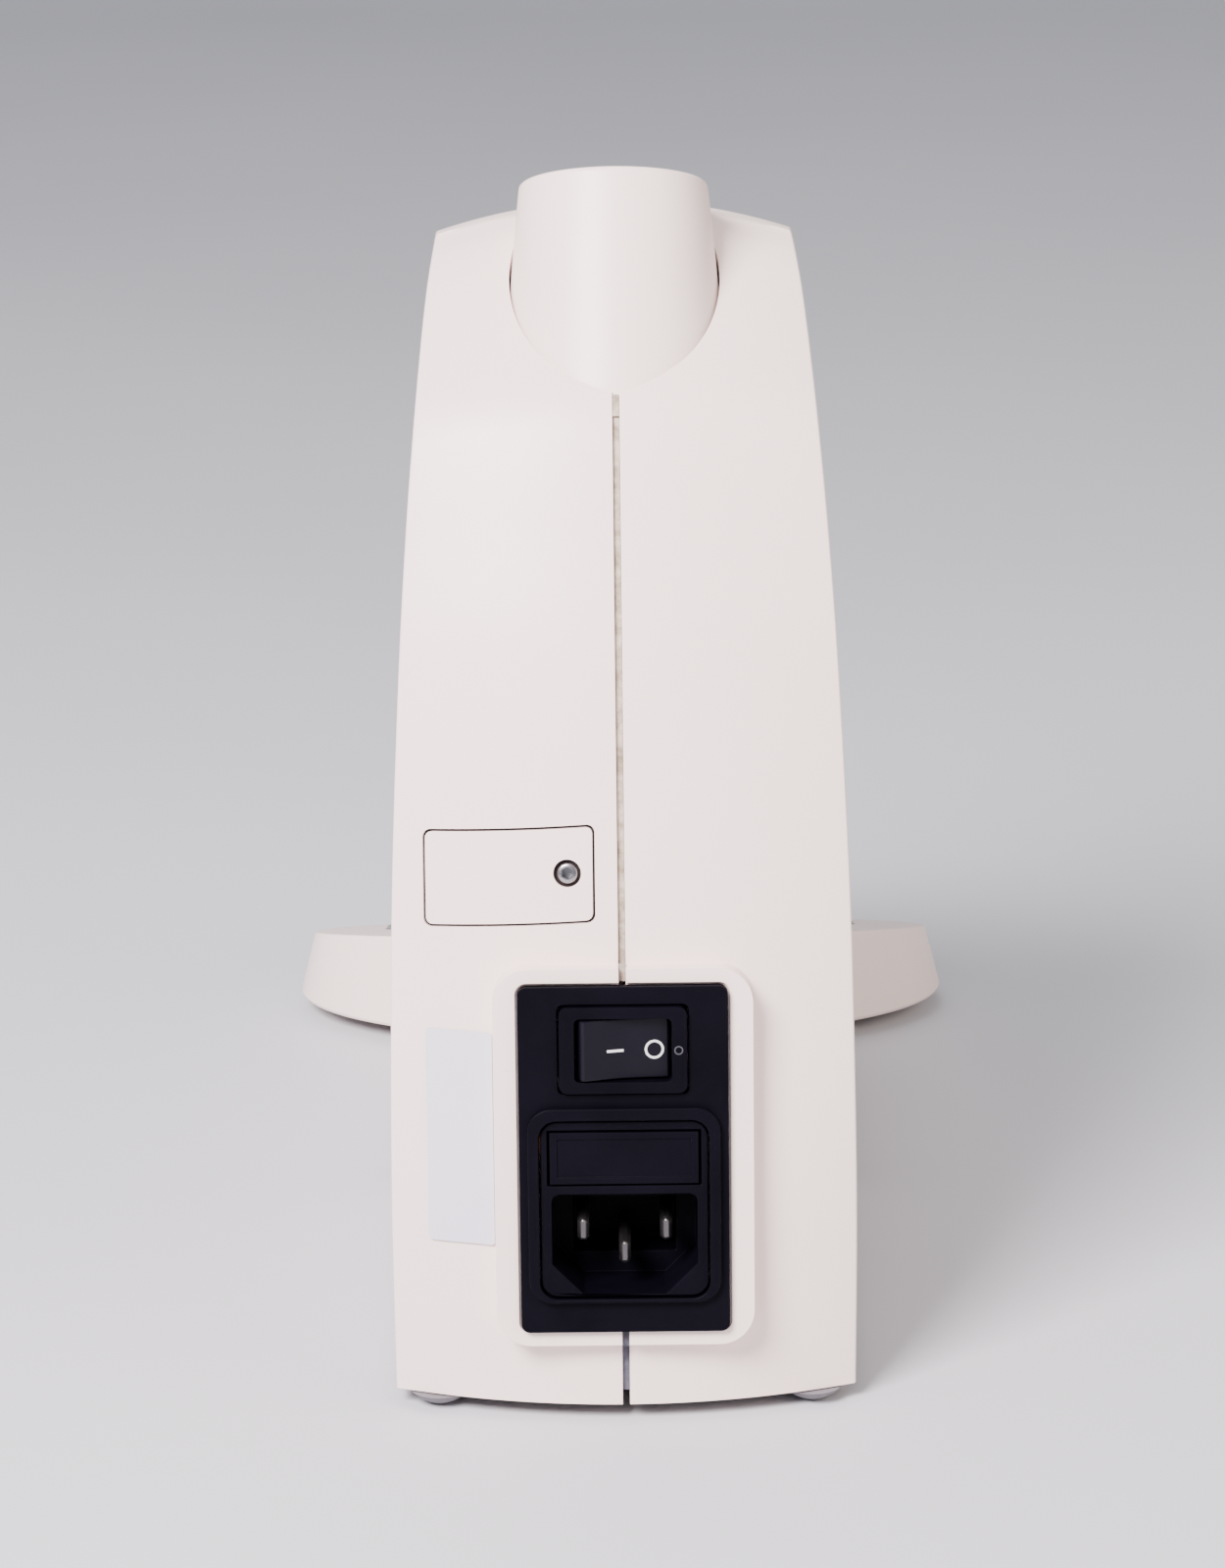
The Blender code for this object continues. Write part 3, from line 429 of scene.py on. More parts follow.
# plate frame: own X = world X, own Y = up along the plate, own Z = outwards (rear)
def plate_frame(a=0.0, b=0.0, c=0.0):
    t = Vector((math.sin(PLATE_LEAN), math.cos(PLATE_LEAN)))      # (s, z) up the plate
    n = Vector((-math.cos(PLATE_LEAN), math.sin(PLATE_LEAN)))     # (s, z) outwards
    s = PLATE_C[0] + t.x * b + n.x * (c + BOSS_OUT)
    z = PLATE_C[1] + t.y * b + n.y * (c + BOSS_OUT)
    return W(a, s, z)


# own X -> -X keeps the frame right-handed with Z outwards (+Y) and Y up
PLATE_ROT = Matrix.Rotation(PLATE_LEAN, 4, "X") @ Matrix(
    ((-1, 0, 0, 0), (0, 0, 1, 0), (0, 1, 0, 0), (0, 0, 0, 1)))

HEAD_D = Vector((math.sin(HEAD_LEAN), math.cos(HEAD_LEAN)))


def head_at(h, off=0.0):
    """Point on the head's axis, h above its lower circle."""
    return W(off, HEAD_BASE[0] + HEAD_D.x * h, HEAD_BASE[1] + HEAD_D.y * h)


HEAD_ROT = lean(HEAD_LEAN)


def head_r(h):
    return HEAD_R0 + (HEAD_R1 - HEAD_R0) * h / HEAD_LEN




# ------------------------------------------------------------------ materials
def principled(name):
    m = bpy.data.materials.new(name)
    m.use_nodes = True
    nt = m.node_tree
    return m, nt, nt.nodes["Principled BSDF"]


def coords(nt, scale=(1, 1, 1)):
    tc = nt.nodes.new("ShaderNodeTexCoord")
    mp = nt.nodes.new("ShaderNodeMapping")
    mp.inputs["Scale"].default_value = scale
    nt.links.new(tc.outputs["Object"], mp.inputs["Vector"])
    return mp.outputs["Vector"]


def noise_tex(nt, vec, scale, detail=3.0, rough=0.55):
    n = nt.nodes.new("ShaderNodeTexNoise")
    n.inputs["Scale"].default_value = scale
    n.inputs["Detail"].default_value = detail
    n.inputs["Roughness"].default_value = rough
    nt.links.new(vec, n.inputs["Vector"])
    return n.outputs["Fac"]


def ramp(nt, fac, stops):
    r = nt.nodes.new("ShaderNodeValToRGB")
    el = r.color_ramp.elements
    el[0].position, el[0].color = stops[0][0], (*stops[0][1], 1)
    el[1].position, el[1].color = stops[-1][0], (*stops[-1][1], 1)
    for pos, col in stops[1:-1]:
        e = el.new(pos)
        e.color = (*col, 1)
    nt.links.new(fac, r.inputs["Fac"])
    return r.outputs["Color"]


def span(nt, fac, lo, hi):
    mr = nt.nodes.new("ShaderNodeMapRange")
    mr.inputs["To Min"].default_value = lo
    mr.inputs["To Max"].default_value = hi
    nt.links.new(fac, mr.inputs["Value"])
    return mr.outputs["Result"]


def mix(nt, fac, a, b):
    mx = nt.nodes.new("ShaderNodeMix")
    mx.data_type = "RGBA"
    nt.links.new(fac, mx.inputs[0]) if not isinstance(fac, float) else None
    if isinstance(fac, float):
        mx.inputs[0].default_value = fac
    for sock, v in ((mx.inputs[6], a), (mx.inputs[7], b)):
        if isinstance(v, tuple):
            sock.default_value = (*v, 1)
        else:
            nt.links.new(v, sock)
    return mx.outputs[2]


def bump(nt, bsdf, height, strength, dist=0.0001, chain=None):
    b = nt.nodes.new("ShaderNodeBump")
    b.inputs["Strength"].default_value = strength
    b.inputs["Distance"].default_value = dist
    nt.links.new(height, b.inputs["Height"])
    if chain is not None:
        nt.links.new(chain, b.inputs["Normal"])
    nt.links.new(b.outputs["Normal"], bsdf.inputs["Normal"])
    return b.outputs["Normal"]


def dark(c, k):
    return tuple(x * k for x in c)


def moulded(name, rgb, rough, var=0.05, grain=2600.0, grain_strength=0.25, patch=22.0, tint=None,
            spec=0.5, dirt=0.0):
    """Moulded plastic: fine spark-eroded grain, slow colour drift, faint handling marks."""
    m, nt, b = principled(name)
    vec = coords(nt)
    slow = noise_tex(nt, vec, patch, 4.0, 0.6)
    col = ramp(nt, slow, [(0.30, dark(rgb, 1 - var)), (0.72, tint or dark(rgb, 1 + var * 0.5))])
    if dirt:
        spots = noise_tex(nt, vec, 900.0, 2.0, 0.5)
        mask = ramp(nt, spots, [(0.70, (0, 0, 0)), (0.78, (dirt, dirt, dirt))])
        sep = nt.nodes.new("ShaderNodeSeparateColor")
        nt.links.new(mask, sep.inputs["Color"])
        col = mix(nt, sep.outputs[0], col, dark(rgb, 0.72))
    nt.links.new(col, b.inputs["Base Color"])
    marks = noise_tex(nt, coords(nt, (1, 1, 0.35)), 160.0, 5.0, 0.7)
    nt.links.new(span(nt, marks, rough - 0.05, rough + 0.07), b.inputs["Roughness"])
    b.inputs["Specular IOR Level"].default_value = spec
    fine = noise_tex(nt, vec, grain, 2.0, 0.5)
    wave = noise_tex(nt, vec, 60.0, 1.0, 0.4)
    n1 = bump(nt, b, wave, 0.05, 0.0004)
    bump(nt, b, fine, grain_strength, 0.00004, n1)
    return m


def metal(name, rgb, rough, stretch=(1, 1, 30), scale=300.0, spec=None):
    """Plated or brushed metal with drawn lines and faint staining."""
    m, nt, b = principled(name)
    b.inputs["Metallic"].default_value = 1.0
    line = noise_tex(nt, coords(nt, stretch), scale, 4.0, 0.6)
    stain = noise_tex(nt, coords(nt), 45.0, 4.0, 0.6)
    nt.links.new(ramp(nt, stain, [(0.3, dark(rgb, 0.84)), (0.7, dark(rgb, 1.05))]),
                 b.inputs["Base Color"])
    nt.links.new(span(nt, line, rough - 0.08, rough + 0.14), b.inputs["Roughness"])
    bump(nt, b, line, 0.12, 0.00005)
    return m


def rubber(name, rgb):
    m, nt, b = principled(name)
    vec = coords(nt)
    dust = noise_tex(nt, vec, 240.0, 5.0, 0.7)
    nt.links.new(ramp(nt, dust, [(0.35, dark(rgb, 0.85)), (0.75, dark(rgb, 1.35))]),
                 b.inputs["Base Color"])
    nt.links.new(span(nt, dust, 0.6, 0.85), b.inputs["Roughness"])
    bump(nt, b, noise_tex(nt, vec, 1800.0, 3.0), 0.3, 0.00006)
    return m


def clear(name, rgb, rough, ior=1.49):
    m, nt, b = principled(name)
    vec = coords(nt)
    b.inputs["Transmission Weight"].default_value = 1.0
    b.inputs["IOR"].default_value = ior
    film = noise_tex(nt, vec, 70.0, 4.0, 0.6)
    nt.links.new(ramp(nt, film, [(0.3, dark(rgb, 0.94)), (0.7, rgb)]), b.inputs["Base Color"])
    nt.links.new(span(nt, film, max(rough - 0.02, 0.0), rough + 0.04), b.inputs["Roughness"])
    bump(nt, b, noise_tex(nt, vec, 25.0, 2.0), 0.03, 0.0002)
    return m


def board(name):
    """Solder mask with copper tracks that run under it."""
    m, nt, b = principled(name)
    vec = coords(nt)
    br = nt.nodes.new("ShaderNodeTexBrick")
    br.inputs["Scale"].default_value = 260.0
    br.inputs["Mortar Size"].default_value = 0.03
    br.inputs["Color1"].default_value = (0.012, 0.085, 0.035, 1)
    br.inputs["Color2"].default_value = (0.02, 0.13, 0.05, 1)
    br.inputs["Mortar"].default_value = (0.10, 0.22, 0.08, 1)
    nt.links.new(vec, br.inputs["Vector"])
    nt.links.new(br.outputs["Color"], b.inputs["Base Color"])
    nt.links.new(span(nt, noise_tex(nt, vec, 90.0), 0.25, 0.5), b.inputs["Roughness"])
    bump(nt, b, br.outputs["Fac"], 0.3, 0.00005)
    return m


def strip_material(name):
    """Inner strip behind the seam: dusty tan above; below it turns to a darker blue grey that is painted
    shade, blended between 30 and 90 mm up.
    """
    m, nt, b = principled(name)
    tc = nt.nodes.new("ShaderNodeTexCoord")
    sep = nt.nodes.new("ShaderNodeSeparateXYZ")
    nt.links.new(tc.outputs["Object"], sep.inputs["Vector"])
    mr = nt.nodes.new("ShaderNodeMapRange")
    mr.inputs["From Min"].default_value = 0.03
    mr.inputs["From Max"].default_value = 0.09
    nt.links.new(sep.outputs["Z"], mr.inputs["Value"])
    dirt = noise_tex(nt, coords(nt), 420.0, 5.0, 0.7)
    tan = ramp(nt, dirt, [(0.32, (0.20, 0.165, 0.11)), (0.60, (0.50, 0.43, 0.35))])
    # painted shade: darker blue grey for the low part of the strip, deep in the gap
    painted_shade_blue = ramp(nt, dirt, [(0.35, (0.045, 0.045, 0.065)), (0.70, (0.12, 0.12, 0.16))])
    # blend by height: painted shade below 30 mm, tan above 90 mm
    nt.links.new(mix(nt, mr.outputs["Result"], painted_shade_blue, tan), b.inputs["Base Color"])
    nt.links.new(span(nt, dirt, 0.55, 0.85), b.inputs["Roughness"])
    bump(nt, b, dirt, 0.4, 0.0001)
    return m


CREAM = (0.93, 0.765, 0.715)
LOOK = {
    "shell": moulded("shell_plastic", CREAM, 0.40, 0.035, 2400.0, 0.20, 14.0, (0.94, 0.79, 0.735),
                     dirt=0.25),
    "black_plastic": moulded("black_plastic", (0.0018, 0.0015, 0.0040), 0.48, 0.25, 2200.0, 0.30,
                             60.0, (0.0028, 0.0024, 0.0054), spec=0.05),
    "rocker": moulded("rocker_plastic", (0.0032, 0.0028, 0.0065), 0.36, 0.2, 3000.0, 0.10, 90.0,
                      spec=0.16),
    "dial": moulded("dial_plastic", (0.022, 0.022, 0.026), 0.5, 0.2, 1800.0, 0.35, 90.0),
    "dark_plastic": moulded("dark_plastic", (0.05, 0.05, 0.058), 0.45, 0.15, 2000.0, 0.3, 90.0),
    "foot_rubber": rubber("foot_rubber", (0.15, 0.14, 0.155)),
    "seal": rubber("seal_rubber", (0.03, 0.03, 0.032)),
    "steel": metal("zinc_steel", (0.40, 0.385, 0.40), 0.22),
    "base_steel": metal("galvanised_sheet", (0.50, 0.51, 0.52), 0.42, (1, 1, 1), 120.0),
    "motor_can": metal("plated_can", (0.33, 0.34, 0.36), 0.38, (1, 1, 20), 200.0),
    # nickel contact: partly the metal's own grey, partly painted shade for the deep socket recess, so its
    # colour sits far below bare nickel
    "contact": metal("nickel_contact", (0.13, 0.125, 0.13), 0.40, (1, 1, 12), 400.0),
    "fuse_glass": clear("fuse_glass", (0.90, 0.93, 0.93), 0.02, 1.5),
    "label": moulded("label_film", (0.66, 0.65, 0.74), 0.34, 0.02, 1500.0, 0.12, 30.0,
                     (0.70, 0.685, 0.77)),
    "seam_strip": strip_material("seam_strip"),
    "smoke_lid": clear("smoked_clear", (0.42, 0.46, 0.50), 0.03),
    "liner": moulded("liner_plastic", (0.42, 0.43, 0.45), 0.42, 0.06, 1800.0, 0.25, 30.0),
    "rotor": moulded("rotor_plastic", (0.075, 0.08, 0.095), 0.38, 0.12, 1600.0, 0.3, 60.0),
    "circuit_board": board("circuit_board"),
    "display_glass": moulded("display_window", (0.012, 0.016, 0.018), 0.06, 0.1, 800.0, 0.02, 20.0),
    "green_button": moulded("green_button", (0.075, 0.33, 0.14), 0.38, 0.06, 1800.0, 0.2, 60.0),
    "red_button": moulded("red_button", (0.47, 0.045, 0.04), 0.38, 0.06, 1800.0, 0.2, 60.0),
    "grey_button": moulded("grey_button", (0.21, 0.22, 0.235), 0.42, 0.06, 1800.0, 0.2, 60.0),
    "copper": metal("copper_winding", (0.62, 0.28, 0.12), 0.35, (1, 60, 1), 250.0),
    # near black put into the hatch gap and the screw's seat: painted shade
    "painted_shade": moulded("gap_painted_shade", (0.022, 0.017, 0.018), 0.8, 0.3, 1500.0, 0.5, 200.0, spec=0.1),
    "mark": moulded("printed_mark", (0.74, 0.74, 0.73), 0.45, 0.03, 1500.0, 0.1, 60.0),
}


# ------------------------------------------------------------------ piece helpers
def baked(ob, name):
    """The evaluated mesh of an object as a plain new object; the old one and its cutters go."""
    bpy.context.view_layer.update()
    dg = bpy.context.evaluated_depsgraph_get()
    me = bpy.data.meshes.new_from_object(ob.evaluated_get(dg))
    me.transform(ob.matrix_world)
    cutters = [m.object for m in ob.modifiers if m.type == "BOOLEAN"]
    bpy.data.objects.remove(ob, do_unlink=True)
    for c in cutters:
        if c and c.name in CUTS.objects and not c.get("keep"):
            bpy.data.objects.remove(c, do_unlink=True)
    new = bpy.data.objects.new(name, me)
    bpy.context.scene.collection.objects.link(new)
    me.materials.clear()
    return new


def dress(ob, slot, body, angle=32, bevel=0.0, seg=2, limit=32):
    """Clean mesh, soft edges, smooth shading, material, and the body that it rides on."""
    me = ob.data
    bm = bmesh.new()
    bm.from_mesh(me)
    bmesh.ops.remove_doubles(bm, verts=bm.verts, dist=0.000004)
    bmesh.ops.dissolve_degenerate(bm, edges=bm.edges, dist=0.000002)
    if bevel:
        bmesh.ops.dissolve_limit(bm, angle_limit=math.radians(0.6), verts=bm.verts, edges=bm.edges)
    bm.to_mesh(me)
    bm.free()
    if bevel:
        bv = ob.modifiers.new("edge", "BEVEL")
        bv.width, bv.segments, bv.limit_method = bevel * MM, seg, "ANGLE"
        bv.angle_limit = math.radians(limit)
        bv.use_clamp_overlap = True
        bv.harden_normals = False
        name = ob.name
        ob.name = name + "_raw"
        ob = baked(ob, name)
        me = ob.data
    me.shade_smooth()
    me.set_sharp_from_angle(angle=math.radians(angle))
    wn = ob.modifiers.new("even", "WEIGHTED_NORMAL")
    wn.keep_sharp = True
    wn.weight = 60
    me.materials.clear()
    me.materials.append(LOOK[slot])
    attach(ob, body)
    return ob


def stand_in(ob, node, **kw):
    """A finer piece that stands for a CAD node."""
    ob = dress(ob, kw.pop("slot", SLOT_OF[node]), BODY_OF[node], **kw)
    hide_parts(node)
    return ob


def refined(node, bevel=0.25, seg=2, angle=32, limit=32):
    """The node's own mesh, with its faceting cleaned, its edges softened and its finish."""
    me = NODES[node].data.copy()
    ob = bpy.data.objects.new(node + "_finish", me)
    bpy.context.scene.collection.objects.link(ob)
    me.materials.clear()
    for a in [a.name for a in me.attributes if a.name == "custom_normal"]:
        me.attributes.remove(me.attributes[a])
    return stand_in(ob, node, bevel=bevel, seg=seg, angle=angle, limit=limit)


DONE = set()

# ------------------------------------------------------------------ column halves
halves = {+1: column_half("left_skin_raw", +1), -1: column_half("right_skin_raw", -1)}
for side, ob in halves.items():
    pts = rrect(43.6, 65.4, 6.0, 12, 0, 0)
    keep = [(max(x, SEAM / 2), y) for x, y in pts if x > 0]
    top_y, bot_y = max(y for _, y in pts), min(y for _, y in pts)
    ring = ([(SEAM / 2, bot_y)] + sorted(keep, key=lambda q: q[1]) + [(SEAM / 2, top_y)])
    ring = [(-x if side > 0 else x, y) for x, y in ring]
    boss = outline("boss_%d" % side, ring, 6.4, None, plate_frame(0, 0, -3.2), PLATE_ROT)
    bv = boss.modifiers.new("edge", "BEVEL")
    bv.width, bv.segments, bv.limit_method = 1.0 * MM, 4, "ANGLE"
    bv.angle_limit = math.radians(60)
    boolean(ob, boss, "UNION")
shared = [
    outline("plate_recess", rrect(PLATE_W + 0.8, PLATE_H + 0.8, 1.9, 8), 4.0, None,
            plate_frame(0, 0, -0.9 + 2.0), PLATE_ROT),
    box("entry_opening", (28.6, 53.2, 30.0), None, plate_frame(0, 0.9, -10.0), PLATE_ROT),
    cyl("head_cut", head_r(-4.6) + 0.42, 64.0, None, head_at(32.0 - 4.6), HEAD_ROT,
        r2=head_r(59.4) + 0.42, n=160),
    box("base_slot", (38.0, 30.0, 8.0), None, W(0, 118, 3.0))]
for c in shared:
    c["keep"] = True
    for ob in halves.values():
        boolean(ob, c)
hx0, hx1, hz0, hz1 = HATCH
boolean(halves[1], mapped_slab("hatch_recess", hx0 - 0.05, hx1 + 0.05, hz0 - 0.05, hz1 + 0.05, 1.3, -2.0,
                               1.7, nx=12, nz=8, tilt=HATCH_TILT))
boolean(halves[1], mapped_slab("hatch_hole", hx0 + 9.2, hx1 - 2.0, hz0 + 2.0, hz1 - 2.0, 1.0,
                               -3.0, 6.0, nx=8, nz=6, tilt=HATCH_TILT))


def surface_axis(x, z):
    p0, p1 = surface_point(x, z, 0.0), surface_point(x, z, 1.0)
    out = (p0 - p1).normalized()
    return p0, out.to_track_quat("Z", "Y").to_matrix().to_4x4(), out


SP, SR, SO = surface_axis(*HATCH_SCREW)
boolean(halves[1], cyl("hatch_screw_hole", 1.35, 12, None, SP, SR, n=32))
for word, s, z in (("lower", 30, 12), ("upper", 100, 150)):
    boolean(halves[-1], cyl("pillar_seat_" + word, 3.1, 12, None, W(-half_width(z), s, z),
                            Matrix.Rotation(math.pi / 2, 4, "Y"), n=40))
stand_in(baked(halves[1], "left_housing_shell"), "left_housing", angle=30)
stand_in(baked(halves[-1], "right_housing_shell"), "right_housing", angle=30)
for c in shared:
    bpy.data.objects.remove(c, do_unlink=True)
DONE |= {"left_housing", "right_housing"}

# ------------------------------------------------------------------ hatch and its screw
cover = mapped_slab("hatch_raw", hx0 + 0.35, hx1 - 0.35, hz0 + 0.35, hz1 - 0.35, 1.1, 0.05, 1.2,
                    nx=12, nz=8, tilt=HATCH_TILT)
boolean(cover, cyl("hatch_screw_seat", 2.35, 12, None, SP, SR, n=48))
stand_in(baked(cover, "hatch_cover_panel"), "hatch_cover", bevel=0.18, seg=3, limit=40)
screw = turned("screw_raw", [(0, -0.2), (1.2, -0.2), (1.52, -0.3), (1.70, -0.5), (1.75, -0.75),
                             (1.75, -1.2), (1.0, -1.25), (1.0, -7.0), (0, -7.4)],
               None, SP, SR, 48)
hexcut = cyl("hex", 1.02, 4.4, None, SP, SR, n=6)
boolean(screw, hexcut)
stand_in(baked(screw, "hatch_screw_socket_head"), "hatch_screw", angle=28)
# dark ring in the screw's counterbore: painted shade
ring = turned("seat_raw", [(1.78, -1.0), (2.33, -1.0), (2.33, -1.16), (1.78, -1.16)], None, SP, SR, 48)
dress(baked(ring, "hatch_screw_seat_painted_shade"), "painted_shade", "base")
# dark ring in the gap around the hatch: painted shade
rim = mapped_slab("gap_raw", hx0 - 0.04, hx1 + 0.04, hz0 - 0.04, hz1 + 0.04, 1.3, 0.55, 1.3,
                  nx=12, nz=8, tilt=HATCH_TILT)
boolean(rim, mapped_slab("gap_inner", hx0 + 0.34, hx1 - 0.34, hz0 + 0.34, hz1 - 0.34, 1.1, -1.0,
                         3.0, nx=12, nz=8, tilt=HATCH_TILT))
dress(baked(rim, "hatch_gap_painted_shade"), "painted_shade", "base")
DONE |= {"hatch_cover", "hatch_screw"}

# ------------------------------------------------------------------ label, lifted a little by the boss
lab = mapped_slab("label_raw", 21.9, 33.1, 31.2, 68.0, 0.6, -0.42, -0.3, nx=14, nz=24)
for v in lab.data.vertices:
    x, z = v.co.x / MM, v.co.z / MM
    lift = 0.5 * max(0.0, (24.2 - x) / 2.3) ** 2 * (0.55 + 0.45 * math.sin(z * 0.11))
    ripple = 0.03 * noise.noise(Vector((x * 0.35, z * 0.18, 3.0)))
    v.co.y += (lift + ripple) * MM
stand_in(lab, "rating_label", angle=40)
DONE |= {"rating_label"}

# ------------------------------------------------------------------ power entry module
flange = outline("flange_raw", rrect(PLATE_W, PLATE_H, 1.5, 8), PLATE_T, None,
                 plate_frame(0, 0, -0.6 + PLATE_T / 2), PLATE_ROT,
                 holes=[rrect(22.0, 15.4, 1.0, 4, 0, 19.2), rrect(28.6, 31.5, 3.0, 6, 0, -8.2)])
stand_in(baked(flange, "inlet_flange_plate"), "inlet_flange", bevel=0.35, seg=3, limit=50)
C_FACE = -0.6 + PLATE_T
sur = outline("surround_raw", rrect(32.3, 33.8, 4.0, 10, 0, -7.6), 1.0, None,
              plate_frame(0, 0, C_FACE + GAP + 0.5), PLATE_ROT,
              holes=[rrect(28.6, 31.0, 3.0, 8, 0, -8.3)])
stand_in(baked(sur, "inlet_surround_rim"), "inlet_surround", bevel=0.3, seg=3, limit=50)
sock = outline("socket_raw", rrect(28.0, 30.4, 2.8, 8, 0, -8.3), 22.0, None,
               plate_frame(0, 0, C_FACE + 0.5 - 11.0), PLATE_ROT)
c14 = [(-12.2, -7.0), (-11.9, -6.1), (-11.0, -5.7), (11.0, -5.7), (11.9, -6.1), (12.2, -7.0),
       (12.2, -17.8), (6.9, -23.1), (-6.9, -23.1), (-12.2, -17.8)]
boolean(sock, outline("socket_recess", c14, 16.0, None, plate_frame(0, 0, C_FACE - 4.5),
                      PLATE_ROT))
boolean(sock, box("drawer_bay", (25.8, 9.6, 40.0), None,
                  plate_frame(0, 0.6, C_FACE + 0.5 - 19.0 + 20.0), PLATE_ROT))
boolean(sock, box("blade_slots", (17.4, 9.6, 10.0), None, plate_frame(0, -14.6, C_FACE - 16.0),
                  PLATE_ROT))
stand_in(baked(sock, "inlet_socket_body"), "inlet_socket", bevel=0.22, seg=2, limit=40)
for word, a, b in (("line", 7.0, -12.7), ("neutral", -7.0, -12.7), ("earth", 0.0, -16.7)):
    pin = box("pin_raw_" + word, (2.0, 4.0, 18.0), None, plate_frame(a, b, C_FACE - 11.6),
              PLATE_ROT, 0.62, 1)
    stand_in(baked(pin, "inlet_blade_" + word), "inlet_pin_" + word, angle=40)
draw = box("drawer_raw", (25.0, 8.9, 18.0), None, plate_frame(0, 0.6, C_FACE + 0.7 - 9.0),
           PLATE_ROT)
boolean(draw, box("fuse_bay", (20.8, 8.0, 12.0), None, plate_frame(0, 2.9, C_FACE - 9.3),
                  PLATE_ROT))
boolean(draw, box("drawer_panel", (22.4, 6.6, 0.5), None, plate_frame(0, 0.6, C_FACE + 0.7),
                  PLATE_ROT))
stand_in(baked(draw, "fuse_drawer_front"), "fuse_drawer", bevel=0.3, seg=3, limit=40)
bez = outline("bezel_raw", rrect(21.4, 14.8, 1.4, 8, 0, 19.2), 12.5, None,
              plate_frame(0, 0, C_FACE + 0.9 - 6.25), PLATE_ROT,
              holes=[rrect(16.3, 10.9, 0.9, 6, 0, 19.2)])
stand_in(baked(bez, "switch_bezel_frame"), "switch_bezel", bevel=0.3, seg=3, limit=50)
dot = turned("dot_raw", [(0.55, 0.03), (0.75, 0.03), (0.75, -0.03), (0.55, -0.03)], None,
             plate_frame(-9.3, 19.2, C_FACE + 0.93), PLATE_ROT, 32)
dress(baked(dot, "bezel_dot_ring"), "dark_plastic", "base")
DONE |= {"inlet_flange", "inlet_surround", "inlet_socket", "inlet_pin_line", "inlet_pin_neutral",
         "inlet_pin_earth", "fuse_drawer", "switch_bezel"}

# rocker: shallow valley between two raised ends, printed ring and bar
R_LEAN = math.radians(11.0)
R_PIVOT = plate_frame(0, 19.2, C_FACE - 2.4)
R_ROT = PLATE_ROT @ Matrix.Rotation(R_LEAN, 4, "Y")


def rocker_top(a):
    return 1.9 + 0.7 * (abs(a) / 7.2) ** 1.5


bm = bmesh.new()
prof = [(-7.7, -2.4), (-7.7, 1.9)]
prof += [(-7.2 + 14.4 * k / 18, rocker_top(-7.2 + 14.4 * k / 18)) for k in range(19)]
prof += [(7.7, 1.9), (7.7, -2.4), (2.6, -6.2), (-2.6, -6.2)]
lo = [bm.verts.new((a * MM, -5.15 * MM, c * MM)) for a, c in prof]
hi = [bm.verts.new((a * MM, 5.15 * MM, c * MM)) for a, c in prof]
for k in range(len(prof)):
    j = (k + 1) % len(prof)
    bm.faces.new((lo[k], lo[j], hi[j], hi[k]))
bm.faces.new(lo)
bm.faces.new(hi)
rk = obj_from_bm("rocker_raw", bm, None, None, R_PIVOT, R_ROT)
stand_in(baked(rk, "power_rocker_cap"), "power_rocker", bevel=0.25, seg=2, limit=30)


def on_rocker(a, b, lift=0.0):
    h = rocker_top(a)
    slope = math.atan2(rocker_top(a + 0.1) - rocker_top(a - 0.1), 0.2)
    p = R_PIVOT + (R_ROT @ Vector((a * MM, b * MM, (h + lift) * MM)))
    return p, R_ROT @ Matrix.Rotation(-slope, 4, "Y")


p, r = on_rocker(4.9, -0.25, 0.02)
ringm = turned("o_raw", [(1.22, 0.04), (1.62, 0.04), (1.62, -0.16), (1.22, -0.16)], None, p, r, 48)
dress(baked(ringm, "rocker_off_ring"), "mark", "power_rocker")
p, r = on_rocker(-1.7, -0.25, 0.0)
bar = box("i_raw", (2.9, 0.45, 0.16), None, p, r)
dress(baked(bar, "rocker_on_bar"), "mark", "power_rocker", bevel=0.05)
DONE |= {"power_rocker"}

# ------------------------------------------------------------------ head and dial
head = turned("head_raw", [
    (HEAD_R1 - 2.2, HEAD_LEN - 0.1), (HEAD_R1 - 1.9, HEAD_LEN), (HEAD_R1 - 0.9, HEAD_LEN),
    (HEAD_R1 - 0.45, HEAD_LEN - 0.1), (HEAD_R1 - 0.12, HEAD_LEN - 0.4), (HEAD_R1, HEAD_LEN - 0.9),
    (head_r(30), 30), (head_r(20), 20), (head_r(10), 10), (head_r(-3.7), -3.7),
    (head_r(-4) - 0.3, -4.0), (head_r(-4) - 2.2, -4.0), (head_r(20) - 2.2, 20), (head_r(28) - 2.2, 28), (7, 28), (7, 30),
    (head_r(30) - 2.2, 30)], None, head_at(0), HEAD_ROT, 128)
stand_in(baked(head, "control_head_tube"), "control_head", angle=35)
dial = turned("dial_raw", [
    (0, 36.0), (5, 36.05), (9.0, 36.3), (10.8, 36.9), (11.6, 37.1), (12.3, 37.05), (12.8, 36.6),
    (13.0, 35.9), (13.0, 30.6), (12.6, 30.35), (0, 30.35)], None, head_at(0), HEAD_ROT, 96)
boolean(dial, cyl("dial_dimple", 2.6, 4.0, None,
                  head_at(38.0) + HEAD_ROT @ Vector((0, 6.2 * MM, 0)), HEAD_ROT, r2=4.4, n=48))
for k in range(24):
    a = 2 * math.pi * k / 24
    boolean(dial, cyl("knurl_%d" % k, 0.45, 12.0, None,
                      head_at(35.0) + HEAD_ROT @ Vector((13.15 * math.cos(a) * MM,
                                                         13.15 * math.sin(a) * MM, 0)),
                      HEAD_ROT, n=12))
stand_in(baked(dial, "speed_dial_knob"), "speed_dial", angle=32)
DONE |= {"control_head", "speed_dial"}

